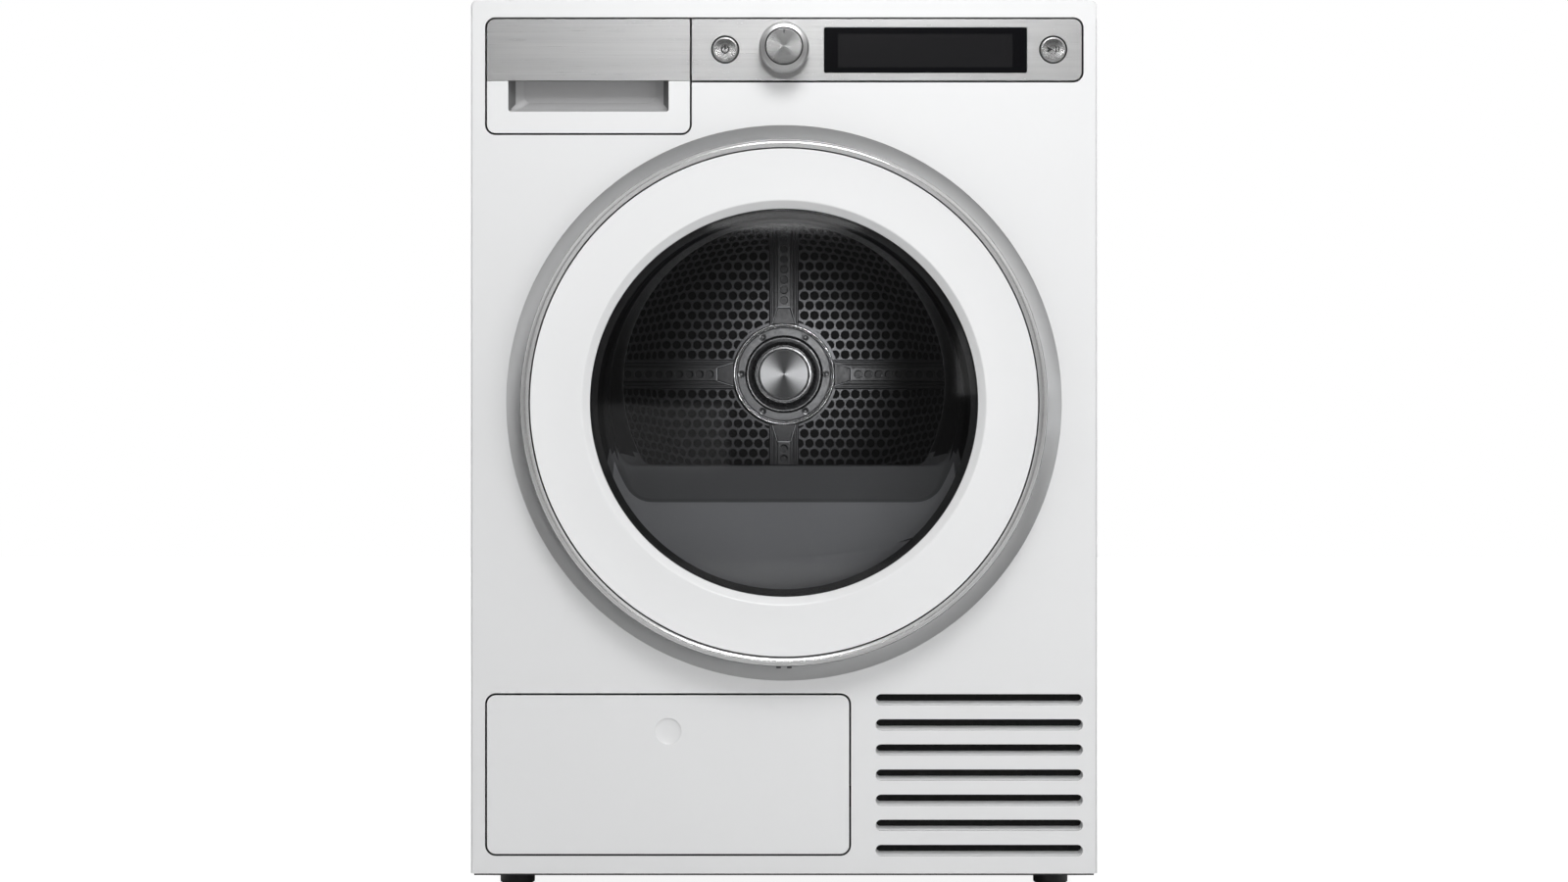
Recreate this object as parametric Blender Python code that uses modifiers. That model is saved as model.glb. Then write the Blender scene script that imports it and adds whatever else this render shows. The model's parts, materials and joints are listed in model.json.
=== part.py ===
"""Free-standing heat-pump clothes dryer, built as separate named pieces in metres, +Z up, front towards -Y.

Depths written as d run backwards from the face of the front panel.
"""

import math

import bmesh
import bpy

# ---- overall sizes -------------------------------------------------------------------------
WIDTH = 0.595
HEIGHT = 0.850
DEPTH = 0.655
FRONT_PROUD = 0.030  # how far the knob stands in front of the panel
BACK_PROUD = 0.030  # how far the rear duct cover stands behind the cabinet
SHEET = 0.0012  # folded steel sheet of the sides and back
PANEL = 0.0020  # front panel
SEAM = 0.0018  # visible gap round each front piece
GAP = 0.0003  # gap between pieces that touch
FIT = 0.0006  # running clearance
FINE = 60  # facets of the largest circles
MEDIUM = 32
SMALL = 16

FACE_Y = -DEPTH / 2 + FRONT_PROUD
CABINET_D = DEPTH - FRONT_PROUD - BACK_PROUD
HALF_W = WIDTH / 2
INNER_X = HALF_W - SHEET - GAP  # edge of the front and rear panels

# ---- base and top --------------------------------------------------------------------------
PAN_BOTTOM_Z = 0.0175
PAN_TOP_Z = 0.044
PAN_WALL = 0.003
PAN_D = (0.0125, CABINET_D - 0.0070)
PANEL_BOTTOM_Z = 0.0206
TOP_COVER_H = 0.0165
TOP_CORNER_R = 0.0055
TOP_SKIN = 0.003
PANEL_TOP_Z = HEIGHT - TOP_COVER_H - GAP
FRONT_TOP_Z = HEIGHT - 0.0006  # the front panel reaches up in front of the top cover
FLANGE = 0.011

# ---- levelling feet ------------------------------------------------------------------------
FOOT_X = HALF_W - 0.0370
FOOT_D = (0.098, CABINET_D - 0.050)
FOOT_R = 0.0168
FOOT_STEM_R = 0.005
FOOT_STEM_TOP_Z = 0.034

# ---- control fascia, drawer front ----------------------------------------------------------
FASCIA_TOP_Z = HEIGHT - 0.0182
FASCIA_H = 0.0583
FASCIA_SIDE = 0.0149  # from the cabinet's side to the fascia's end
FASCIA_R = 0.008
FASCIA_SKIN = 0.0025
FASCIA_D = 0.030
FASCIA_BOTTOM_Z = FASCIA_TOP_Z - FASCIA_H
DRAWER_SPLIT_X = -HALF_W + 0.20905
DRAWER_H = 0.1082
DRAWER_BOTTOM_Z = FASCIA_TOP_Z - DRAWER_H
DRAWER_LEFT_X = -HALF_W + 0.0155
DRAWER_RIGHT_X = DRAWER_SPLIT_X - SEAM / 2
FASCIA_LEFT_X = DRAWER_SPLIT_X + SEAM / 2
FASCIA_RIGHT_X = HALF_W - FASCIA_SIDE
DRAWER_FRONT_D = 0.028
GRIP_SIDE = 0.0202
GRIP_BOTTOM = 0.0205
GRIP_D = 0.024
TRIM_SKIN = 0.0015

KNOB_X = 0.0
KNOB_R = 0.0235
KNOB_SPINDLE_R = 0.003
CONTROL_Z = FASCIA_TOP_Z - 0.0289
BUTTON_R = 0.0126
BUTTON_FLANGE_R = 0.0145
BUTTON_PROUD = 0.0010
BUTTON_BACK_D = 0.012
BUTTON_TRAVEL = 0.0015
POWER_X = FASCIA_LEFT_X + 0.0317
START_X = FASCIA_RIGHT_X - 0.0270
DISPLAY_W = 0.1923
DISPLAY_H = 0.0429
DISPLAY_LEFT_X = KNOB_X + 0.0382
DISPLAY_TOP_Z = FASCIA_TOP_Z - 0.0079
DISPLAY_D = 0.003

# ---- condensate tank -----------------------------------------------------------------------
TANK_SIDE = 0.002  # tank set in from the drawer front's ends
TANK_TOP_Z = FASCIA_TOP_Z - 0.0058
TANK_BOTTOM_Z = DRAWER_BOTTOM_Z + 0.0134
TANK_SLOPE_X = -0.180
TANK_SLOPE_Z = TANK_TOP_Z - 0.040
TANK_BACK_D = 0.480
TANK_WALL = 0.002
HOUSING_CLEAR = 0.0015
HOUSING_WALL = 0.002
HOUSING_D = (0.0325, 0.500)
TANK_FILL_R = 0.015
TANK_TRAVEL = 0.400

# ---- door ----------------------------------------------------------------------------------
DOOR_Z = 0.4675
DOOR_R = 0.249
RECESS_R = DOOR_R + 0.0146
RECESS_D = 0.014
RECESS_SKIN = 0.0015
PORT_R = DOOR_R - 0.046
TRIM_W = 0.0088
BEZEL_R = DOOR_R - 0.0583
GLASS_R = DOOR_R - 0.0658
GLASS_D = (-0.0150, -0.0108)
DOOR_FRONT_D = -0.0288
DOOR_BACK_D = 0.0080
PLUG_BACK_D = 0.045
PLUG_R = DOOR_R - 0.0585
INNER_GLASS_R = DOOR_R - 0.0640
HINGE_X = DOOR_R - 0.005
HINGE_D = -0.012
PIN_R = 0.002
KNUCKLE_R = 0.0042
LEAF_HALF_H = 0.0095
ARM_Z = (0.0105, 0.0285)
ARM_W = 0.004
NOTCH_HALF_H = 0.032
NOTCH_FRONT_D = -0.0205
HOOK_X = 0.027 - DOOR_R
HOOK_W = 0.008
HOOK_HALF_H = 0.008
HOOK_TIP_D = 0.034
HOOK_SLOT_HALF_H = 0.012
HOOK_SWING = 0.0065
LATCH_D = (RECESS_D + RECESS_SKIN + GAP, 0.045)
SEAL_R = (DOOR_R - 0.043, DOOR_R - 0.033)

# ---- drum ----------------------------------------------------------------------------------
DRUM_Z = 0.505
DRUM_R = 0.280
DRUM_SKIN = 0.0012
DRUM_FRONT_D = 0.120
DRUM_BACK_D = 0.510
DRUM_DISH_D = 0.532
DRUM_FLAT_R = 0.140
RIB_W = 0.030
RIB_H = 0.006
HUB_RING_R = 0.056
HUB_CAP_R = 0.0285
SHAFT_R = 0.008
SHAFT_END_D = CABINET_D - 0.010
LIFTER_COUNT = 3
LIFTER_H = 0.045
LIFTER_W = 0.060
LIFTER_D = (0.150, 0.480)
ROLLER_R = 0.035
ROLLER_W = 0.020
ROLLER_ANGLE = math.radians(38)
AXLE_R = 0.005
ROLLER_D = DRUM_FRONT_D + 0.006

# ---- loading opening and lint filter ---------------------------------------------------------
BULKHEAD_D = 0.112
BULKHEAD_SKIN = 0.0035
BULKHEAD_X = HALF_W - 0.0075
BULKHEAD_Z = (0.213, 0.790)
MOUTH_R = DOOR_R - 0.091
MOUTH_Z = DOOR_Z + 0.020
MOUTH_SILL_Z = 0.407
FUNNEL_FRONT_R = PORT_R - 0.0015
FUNNEL_FRONT_D = RECESS_D + RECESS_SKIN + GAP
FUNNEL_STRAIGHT_D = 0.056
FUNNEL_WALL = 0.003
FILTER_HOUSE_X = 0.152
FILTER_HOUSE_BOTTOM_Z = 0.2060
FILTER_X = 0.1235
FILTER_D = (0.0855, 0.1025)
FILTER_Z = (0.245, 0.412)
FILTER_TRAVEL = 0.150

# ---- service flap, exchanger, vent -----------------------------------------------------------
FLAP_LEFT_X = DRAWER_LEFT_X
FLAP_RIGHT_X = FLAP_LEFT_X + 0.3439
FLAP_TOP_Z = 0.190
FLAP_BOTTOM_Z = 0.0392
FLAP_R = 0.0085
FLAP_SKIN = 0.0036
FLAP_AXIS_D = 0.0002
FLAP_AXIS_UP = 0.0018  # above the flap's lower edge
DIMPLE_R = 0.0125
DIMPLE_FROM_TOP = 0.0342
LUG_W = 0.0194
LUG_PITCH = 0.0942
EXCHANGER_X = (FLAP_LEFT_X + 0.014, FLAP_RIGHT_X - 0.014)
FIN_GAP = 0.7  # share of the fins' spacing
FIN_BACK = 0.012
EXCHANGER_TOP_Z = 0.2055
EXCHANGER_LOW_Z = 0.036
SKID_W = 0.030
EXCHANGER_D = (0.036, 0.420)
COVER_D = (0.022, 0.0355)
LEVER_W = 0.018
LEVER_H = 0.050
LEVER_D = (0.0140, 0.0215)
SLOT_COUNT = 7
SLOT_H = 0.0106
SLOT_PITCH = 0.02385
SLOT_TOP_Z = 0.1857
SLOT_X = (HALF_W - 0.2105, HALF_W - 0.0138)
LOUVRE_D = 0.0120
LOUVRE_RISE = 0.0047

# ---- drive, compressor, fan ------------------------------------------------------------------
MOTOR_X = 0.185
MOTOR_Z = DRUM_Z - 0.315
MOTOR_R = 0.050
MOTOR_D = (0.275, 0.430)
PULLEY_R = 0.010
PULLEY_D = (0.248, 0.266)
ROTOR_R = 0.006
WHEEL_R = 0.068
WHEEL_D = (0.508, 0.548)
VANES = 12
BLOWER_R = 0.080
BLOWER_D = (0.498, CABINET_D - SHEET - GAP)
BLOWER_WALL = 0.0025
BELT_SKIN = 0.0015
BELT_W = 0.008
COMPRESSOR_X = 0.175
COMPRESSOR_R = 0.058
COMPRESSOR_D = 0.150
COMPRESSOR_TOP_Z = 0.195

# ---- rear -------------------------------------------------------------------------------------
DUCT_R = 0.250
DUCT_WALL = 0.002
DUCT_LEG_X = (MOTOR_X - 0.085, MOTOR_X + 0.085)
DUCT_LEG_Z = MOTOR_Z - 0.085
REAR_D = CABINET_D
SPIGOT = (-HALF_W + 0.032, 0.770)
INLET = (-HALF_W + 0.060, 0.110)


# ---- helpers ----------------------------------------------------------------------------------
def clear_scene():
    for obj in list(bpy.data.objects):
        bpy.data.objects.remove(obj, do_unlink=True)
    for mesh in list(bpy.data.meshes):
        bpy.data.meshes.remove(mesh)


def new_collection(name):
    made = bpy.data.collections.new(name)
    bpy.context.scene.collection.children.link(made)
    return made


def material(name, colour, metallic=0.0, roughness=0.5, alpha=1.0):
    made = bpy.data.materials.new(name)
    made.use_nodes = True
    shader = made.node_tree.nodes["Principled BSDF"]
    shader.inputs["Base Color"].default_value = (*colour, 1.0)
    shader.inputs["Metallic"].default_value = metallic
    shader.inputs["Roughness"].default_value = roughness
    shader.inputs["Alpha"].default_value = alpha
    return made


WHITE = ((0.86, 0.87, 0.88), 0.0, 0.35)
STEEL = ((0.60, 0.61, 0.62), 1.0, 0.35)
CHROME = ((0.78, 0.78, 0.79), 1.0, 0.18)
BLACK = ((0.02, 0.02, 0.022), 0.0, 0.45)
GLOSS_BLACK = ((0.008, 0.008, 0.009), 0.0, 0.08)
DARK_GREY = ((0.09, 0.09, 0.10), 0.0, 0.55)
GREY = ((0.42, 0.43, 0.44), 0.0, 0.55)
RUBBER = ((0.03, 0.03, 0.03), 0.0, 0.85)
SMOKED = ((0.03, 0.03, 0.035), 0.0, 0.05, 0.35)
CLEAR = ((0.75, 0.78, 0.80), 0.0, 0.05, 0.35)
ZINC = ((0.66, 0.67, 0.68), 1.0, 0.45)
ALUMINIUM = ((0.75, 0.76, 0.77), 1.0, 0.40)


def add_object(name, mesh, look=None):
    """Links a mesh object: a piece when it has a look, otherwise a hidden cutter."""
    obj = bpy.data.objects.new(name, mesh)
    if look is None:
        CUTTERS.objects.link(obj)
        obj.hide_render = True
        obj.display_type = "WIRE"
    else:
        PIECES.objects.link(obj)
        mesh.materials.append(material(name, *look))
    return obj


def prism(name, outline, axis, low, high, look=None):
    """Extrudes an outline along an axis: (x, z) along Y, (d, z) along X, (x, d) along Z."""
    place = {
        "Y": lambda a, b, t: (a, FACE_Y + t, b),
        "X": lambda a, b, t: (t, FACE_Y + a, b),
        "Z": lambda a, b, t: (a, FACE_Y + b, t),
    }[axis]
    shape = bmesh.new()
    base = shape.faces.new([shape.verts.new(place(a, b, low)) for a, b in outline])
    raised = bmesh.ops.extrude_face_region(shape, geom=[base])
    moved = [item for item in raised["geom"] if isinstance(item, bmesh.types.BMVert)]
    shift = [high - low if letter == axis else 0.0 for letter in "XYZ"]
    bmesh.ops.translate(shape, verts=moved, vec=shift)
    bmesh.ops.recalc_face_normals(shape, faces=shape.faces)
    mesh = bpy.data.meshes.new(name)
    shape.to_mesh(mesh)
    shape.free()
    return add_object(name, mesh, look)


def rounded(a0, a1, b0, b1, radius=0.0, steps=4):
    """Outline of a rectangle with round corners."""
    if radius <= 0:
        return [(a0, b0), (a1, b0), (a1, b1), (a0, b1)]
    centres = [
        (a1 - radius, b0 + radius, -90),
        (a1 - radius, b1 - radius, 0),
        (a0 + radius, b1 - radius, 90),
        (a0 + radius, b0 + radius, 180),
    ]
    points = []
    for ca, cb, start in centres:
        for step in range(steps + 1):
            angle = math.radians(start + 90 * step / steps)
            points.append((ca + radius * math.cos(angle), cb + radius * math.sin(angle)))
    return points


def block(name, xs, ds, zs, look=None, radius=0.0, steps=4):
    """A box, with its four edges along Y rounded by radius."""
    return prism(name, rounded(*xs, *zs, radius, steps), "Y", *ds, look)


def lathe(name, outline, centre, axis="Y", steps=FINE, look=None):
    """Turns an outline of (radius, distance along the axis) points about Y (from the face) or Z."""
    area = sum(
        r0 * t1 - r1 * t0 for (r0, t0), (r1, t1) in zip(outline, outline[1:] + outline[:1])
    )
    points = outline[::-1] if area > 0 else list(outline)
    on_axis = [index for index, point in enumerate(points) if point[0] == 0]
    if on_axis:
        start = max(on_axis, key=lambda index: points[index][1])
        points = points[start:] + points[:start]
    count = len(points)
    edges = [(index, index + 1) for index in range(count - 1)]
    if not on_axis:
        edges.append((count - 1, 0))
    mesh = bpy.data.meshes.new(name)
    mesh.from_pydata([(r, 0.0, t) for r, t in points], edges, [])
    obj = add_object(name, mesh, look)
    if axis == "Y":
        obj.rotation_euler = (-math.pi / 2, 0.0, 0.0)
    obj.location = centre
    turn = obj.modifiers.new("Turn", "SCREW")
    turn.axis = "Z"
    turn.steps = turn.render_steps = steps
    turn.use_merge_vertices = True
    turn.merge_threshold = 0.00001
    turn.use_smooth_shade = True
    return obj


def on_face(x, z):
    """A point on the plane of the front panel's face, where d is 0."""
    return (x, FACE_Y, z)


def join(obj, other, operation):
    step = obj.modifiers.new(operation.title(), "BOOLEAN")
    step.operation = operation
    step.object = other
    step.solver = "EXACT"
    return obj


def cut(obj, *others):
    for other in others:
        join(obj, other, "DIFFERENCE")
    return obj


def fuse(obj, *others):
    for other in others:
        join(obj, other, "UNION")
    return obj


def offset(outline, distance):
    """Moves each side of a counter-clockwise outline outwards by distance."""
    count = len(outline)
    moved = []
    for index in range(count):
        (ax, ay), (bx, by), (cx, cy) = (outline[(index + k - 1) % count] for k in range(3))
        first = math.atan2(by - ay, bx - ax)
        second = math.atan2(cy - by, cx - bx)
        half = (second - first + math.pi) % (2 * math.pi) - math.pi
        angle = first + half / 2 - math.pi / 2
        reach = distance / math.cos(half / 2)
        moved.append((bx + reach * math.cos(angle), by + reach * math.sin(angle)))
    return moved


def circle(x, z, radius, steps):
    turns = [2 * math.pi * step / steps for step in range(steps)]
    return [(x + radius * math.cos(turn), z + radius * math.sin(turn)) for turn in turns]


def joint_empty(name, point, members):
    """An empty on a joint's axis that carries the pieces of one moving body."""
    empty = bpy.data.objects.new(name, None)
    empty.location = point
    PIECES.objects.link(empty)
    bpy.context.view_layer.update()
    for member in members:
        member.parent = empty
        member.matrix_parent_inverse = empty.matrix_world.inverted()
    return empty


# ---- cabinet ----------------------------------------------------------------------------------
def base_pan():
    edge = INNER_X - 0.0005
    pan = block("base_pan", (-edge, edge), PAN_D, (PAN_BOTTOM_Z, PAN_TOP_Z), GREY)
    inner = (PAN_D[0] + PAN_WALL, PAN_D[1] - PAN_WALL)
    floor = (PAN_BOTTOM_Z + PAN_WALL, PAN_TOP_Z + 0.01)
    cut(pan, block("cut_pan", (-edge + PAN_WALL, edge - PAN_WALL), inner, floor))
    blower = circle(MOTOR_X, MOTOR_Z, BLOWER_R + 0.001, MEDIUM)
    cut(pan, prism("cut_pan_blower", blower, "Y", PAN_D[1] - 0.02, PAN_D[1] + 0.01))
    for index, (side, depth) in enumerate(foot_places()):
        hole = circle(side, depth, FOOT_STEM_R + FIT, SMALL)
        cut(pan, prism(f"cut_foot_hole_{index}", hole, "Z", 0.0, PAN_TOP_Z))
    return pan


def foot_places():
    return [(side * FOOT_X, depth) for depth in FOOT_D for side in (-1, 1)]


def levelling_feet():
    names = ("foot_front_left", "foot_front_right", "foot_rear_left", "foot_rear_right")
    pad_top = PAN_BOTTOM_Z - GAP
    outline = [
        (0.0, 0.0),
        (FOOT_R * 0.93, 0.0),
        (FOOT_R, 0.002),
        (FOOT_R, pad_top * 0.55),
        (FOOT_R * 0.72, pad_top * 0.70),
        (FOOT_R * 0.72, pad_top),
        (FOOT_STEM_R, pad_top),
        (FOOT_STEM_R, FOOT_STEM_TOP_Z),
        (0.0, FOOT_STEM_TOP_Z),
    ]
    for name, (side, depth) in zip(names, foot_places()):
        lathe(name, outline, (side, FACE_Y + depth, 0.0), "Z", SMALL, DARK_GREY)


def side_panel(name, side):
    """A plate with a flange folded in along its front and rear edges."""
    outer, inner = HALF_W, HALF_W - SHEET
    turn = inner - FLANGE
    front = (PANEL + GAP, PANEL + GAP + SHEET)
    back = (REAR_D - SHEET - GAP - SHEET, REAR_D - SHEET - GAP)
    outline = [
        (outer, 0.0),
        (outer, REAR_D),
        (inner, REAR_D),
        (inner, back[1]),
        (turn, back[1]),
        (turn, back[0]),
        (inner, back[0]),
        (inner, front[1]),
        (turn, front[1]),
        (turn, front[0]),
        (inner, front[0]),
        (inner, 0.0),
    ]
    outline = [(side * x, d) for x, d in outline]
    return prism(name, outline, "Z", PANEL_BOTTOM_Z, PANEL_TOP_Z, WHITE)


def top_cover():
    """A lid with rounded upper corners, hollow from below."""
    low = HEIGHT - TOP_COVER_H
    upper = rounded(-HALF_W, HALF_W, HEIGHT - 0.1, HEIGHT, TOP_CORNER_R)[5:15]
    outline = [(-HALF_W, low), (HALF_W, low)] + upper
    front = PANEL + GAP
    lid = prism("top_cover", outline, "Y", front, CABINET_D, WHITE)
    inside = (-HALF_W + TOP_SKIN, HALF_W - TOP_SKIN)
    depths = (front + TOP_SKIN, CABINET_D - TOP_SKIN)
    return cut(lid, block("cut_top_cover", inside, depths, (low - 0.01, HEIGHT - TOP_SKIN)))


def front_panel():
    """The white front: a sheet with its openings, and the round recess of the door."""
    upper = rounded(-INNER_X, INNER_X, 0.5, FRONT_TOP_Z, TOP_CORNER_R)[5:15]
    outline = [(-INNER_X, PANEL_BOTTOM_Z), (INNER_X, PANEL_BOTTOM_Z)] + upper
    panel = prism("front_panel", outline, "Y", 0.0, PANEL, WHITE)
    through = (-0.01, PANEL + 0.01)
    band = (DRAWER_LEFT_X - SEAM, FASCIA_RIGHT_X + SEAM)
    drawer = (DRAWER_LEFT_X - SEAM, DRAWER_RIGHT_X + SEAM)
    flap = (FLAP_LEFT_X - SEAM, FLAP_RIGHT_X + SEAM)
    cut(
        panel,
        block("cut_band", band, through, (FASCIA_BOTTOM_Z - SEAM, FASCIA_TOP_Z + SEAM),
              radius=FASCIA_R + SEAM),
        block("cut_drawer", drawer, through, (DRAWER_BOTTOM_Z - SEAM, FASCIA_TOP_Z - 0.015),
              radius=FASCIA_R + SEAM),
        block("cut_flap", flap, through, (FLAP_BOTTOM_Z - SEAM, FLAP_TOP_Z + SEAM),
              radius=FLAP_R + SEAM),
        prism("cut_recess", circle(0.0, DOOR_Z, RECESS_R, FINE), "Y", *through),
    )
    for index in range(SLOT_COUNT):
        slot = rounded(*SLOT_X, *slot_heights(index), SLOT_H / 2 - 0.0001, 3)
        cut(panel, prism(f"cut_slot_{index}", slot, "Y", *through))
    floor, back = RECESS_D, RECESS_D + RECESS_SKIN
    outline = [
        (RECESS_R + 0.0010, 0.0005),
        (RECESS_R - 0.0036, 0.0055),
        (RECESS_R - 0.0076, 0.0095),
        (RECESS_R - 0.0120, floor - 0.0012),
        (RECESS_R - 0.0160, floor),
        (PORT_R, floor),
        (PORT_R, back),
        (RECESS_R - 0.0157, back),
        (RECESS_R - 0.0113, back - 0.0013),
        (RECESS_R - 0.0065, 0.0107),
        (RECESS_R - 0.0024, 0.0066),
        (RECESS_R + 0.0014, 0.0017),
    ]
    recess = lathe("add_recess", outline, on_face(0.0, DOOR_Z))
    slot = (HOOK_X - HOOK_W / 2 - HOOK_SWING, HOOK_X + HOOK_W / 2 + 0.0035)
    heights = (DOOR_Z - HOOK_SLOT_HALF_H, DOOR_Z + HOOK_SLOT_HALF_H)
    cut(recess, block("cut_hook_slot", slot, (floor - 0.005, back + 0.005), heights))
    return fuse(panel, recess)


def slot_heights(index):
    middle = SLOT_TOP_Z - index * SLOT_PITCH
    return (middle - SLOT_H / 2, middle + SLOT_H / 2)


def vent_louvre():
    """A moulding behind the vent slots, with a sloped way through behind each."""
    low = slot_heights(SLOT_COUNT - 1)[0] - 0.004
    high = slot_heights(0)[1] + 0.004 + LOUVRE_RISE
    depths = (PANEL + GAP, LOUVRE_D)
    plate = block("vent_louvre", (SLOT_X[0] - 0.006, SLOT_X[1] + 0.001), depths, (low, high), GREY)
    for index in range(SLOT_COUNT):
        bottom, top = slot_heights(index)
        rise = LOUVRE_RISE * 1.5
        outline = [
            (depths[0] - 0.003, bottom - 0.0012),
            (depths[1] + 0.003, bottom - 0.0012 + rise),
            (depths[1] + 0.003, top - 0.0010 + rise),
            (depths[0] - 0.003, top - 0.0010),
        ]
        ends = (SLOT_X[0] + 0.0008, SLOT_X[1] - 0.0008)
        cut(plate, prism(f"cut_louvre_{index}", outline, "X", *ends))
    return plate


def rear_panel():
    sheet = (REAR_D - SHEET, REAR_D)
    panel = block("rear_panel", (-INNER_X, INNER_X), sheet, (PANEL_BOTTOM_Z, PANEL_TOP_Z), ZINC)
    ways = (REAR_D - 0.02, REAR_D + 0.02)
    cut(
        panel,
        lathe("cut_rear_duct", [(0.060, ways[0]), (0.200, ways[0]), (0.200, ways[1]),
                                (0.060, ways[1])], on_face(0.0, DRUM_Z)),
        prism("cut_rear_blower", circle(MOTOR_X, MOTOR_Z, BLOWER_R - 0.012, MEDIUM), "Y", *ways),
        prism("cut_rear_spigot", circle(*SPIGOT, 0.0095, SMALL), "Y", *ways),
        prism("cut_rear_inlet", circle(*INLET, 0.0125, SMALL), "Y", *ways),
    )
    # Four spokes carry the middle of the panel, where the drum's bearing is fixed.
    for index, (xs, zs) in enumerate((
        ((-0.215, 0.215), (DRUM_Z - 0.020, DRUM_Z + 0.020)),
        ((-0.020, 0.020), (DRUM_Z - 0.215, DRUM_Z + 0.215)),
    )):
        fuse(panel, block(f"add_spoke_{index}", xs, sheet, zs))
    return panel


def rear_duct_cover():
    """A shallow pan on the back that leads the air from the blower up to the drum's back."""
    near, far = REAR_D + GAP, REAR_D + BACK_PROUD
    leg_far = far - 0.008
    shell = lathe("rear_duct_cover",
                  [(0.0, near), (DUCT_R, near), (DUCT_R, far - 0.010), (DUCT_R - 0.012, far),
                   (0.0, far)], on_face(0.0, DRUM_Z), look=ZINC)
    leg_top = DRUM_Z - 0.120
    fuse(shell, block("add_duct_leg", DUCT_LEG_X, (near, leg_far), (DUCT_LEG_Z, leg_top)))
    wall = DUCT_WALL
    inner = lathe("cut_duct",
                  [(0.0, near - 0.01), (DUCT_R - wall, near - 0.01),
                   (DUCT_R - wall, far - 0.011), (DUCT_R - 0.013, far - wall), (0.0, far - wall)],
                  on_face(0.0, DRUM_Z))
    inside_leg = block("cut_duct_leg", (DUCT_LEG_X[0] + wall, DUCT_LEG_X[1] - wall),
                       (near - 0.01, leg_far - wall), (DUCT_LEG_Z + wall, leg_top))
    return cut(shell, inner, inside_leg)


def rear_fittings():
    """The outlet spigot of the drain and the gland where the mains lead enters."""
    near = REAR_D + GAP
    for name, place, bore, tube, look in (
        ("drain_spigot", SPIGOT, 0.0055, 0.0085, GREY),
        ("mains_inlet", INLET, 0.0045, 0.0115, BLACK),
    ):
        reach = near + (0.022 if name == "drain_spigot" else 0.012)
        outline = [
            (bore, REAR_D - 0.012),
            (tube, REAR_D - 0.012),
            (tube, near),
            (tube + 0.007, near),
            (tube + 0.007, near + 0.003),
            (tube, near + 0.003),
            (tube - 0.001, reach),
            (bore, reach),
        ]
        lathe(name, outline, on_face(*place), steps=SMALL, look=look)


# ---- controls -----------------------------------------------------------------------------------
def control_fascia():
    """The brushed strip: a shell open at the back, with holes for knob, buttons and display."""
    xs, zs = (FASCIA_LEFT_X, FASCIA_RIGHT_X), (FASCIA_BOTTOM_Z, FASCIA_TOP_Z)
    outline = rounded(*xs, *zs, FASCIA_R)
    corner = outline[0:10] + [(xs[0], zs[1]), (xs[0], zs[0])]
    fascia = prism("control_fascia", corner, "Y", 0.0, FASCIA_D, STEEL)
    wall = 0.002
    inside = block("cut_fascia_back", (xs[0] + wall, xs[1] - wall),
                   (FASCIA_SKIN, FASCIA_D + 0.01), (zs[0] + wall, zs[1] - wall), radius=FASCIA_R)
    through = (-0.01, FASCIA_SKIN + 0.01)
    cut(
        fascia,
        inside,
        prism("cut_spindle", circle(KNOB_X, CONTROL_Z, KNOB_SPINDLE_R + FIT, SMALL), "Y", *through),
        prism("cut_power", circle(POWER_X, CONTROL_Z, BUTTON_R + FIT, MEDIUM), "Y", *through),
        prism("cut_start", circle(START_X, CONTROL_Z, BUTTON_R + FIT, MEDIUM), "Y", *through),
        block("cut_display", (DISPLAY_LEFT_X - GAP, DISPLAY_LEFT_X + DISPLAY_W + GAP), through,
              (DISPLAY_TOP_Z - DISPLAY_H - GAP, DISPLAY_TOP_Z + GAP), radius=0.0018),
    )
    return fascia


def display_glass():
    xs = (DISPLAY_LEFT_X, DISPLAY_LEFT_X + DISPLAY_W)
    zs = (DISPLAY_TOP_Z - DISPLAY_H, DISPLAY_TOP_Z)
    return block("display_glass", xs, (0.0, DISPLAY_D), zs, GLOSS_BLACK, radius=0.0015)


def selector_knob():
    front, skirt = -FRONT_PROUD, -0.0015
    outline = [
        (0.0, front),
        (KNOB_R * 0.76, front),
        (KNOB_R * 0.79, front + 0.0004),
        (KNOB_R * 0.95, front + 0.0016),
        (KNOB_R, front + 0.0040),
        (KNOB_R, skirt),
        (KNOB_SPINDLE_R, skirt),
        (KNOB_SPINDLE_R, 0.020),
        (0.0, 0.020),
    ]
    return lathe("selector_knob", outline, on_face(KNOB_X, CONTROL_Z), steps=48, look=CHROME)


def push_button(name, x):
    flange = FASCIA_SKIN + 0.0005
    outline = [
        (0.0, -BUTTON_PROUD),
        (BUTTON_R - 0.0005, -BUTTON_PROUD),
        (BUTTON_R, -BUTTON_PROUD + 0.0005),
        (BUTTON_R, flange),
        (BUTTON_FLANGE_R, flange),
        (BUTTON_FLANGE_R, flange + 0.002),
        (0.006, flange + 0.002),
        (0.006, BUTTON_BACK_D),
        (0.0, BUTTON_BACK_D),
    ]
    return lathe(name, outline, on_face(x, CONTROL_Z), steps=32, look=CHROME)


# ---- condensate tank ------------------------------------------------------------------------------
def tank_outline():
    left, right = DRAWER_LEFT_X + TANK_SIDE, DRAWER_RIGHT_X - TANK_SIDE - 0.0006
    return [
        (left, TANK_BOTTOM_Z),
        (TANK_SLOPE_X, TANK_BOTTOM_Z),
        (right, TANK_SLOPE_Z),
        (right, TANK_TOP_Z),
        (left, TANK_TOP_Z),
    ]


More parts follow.
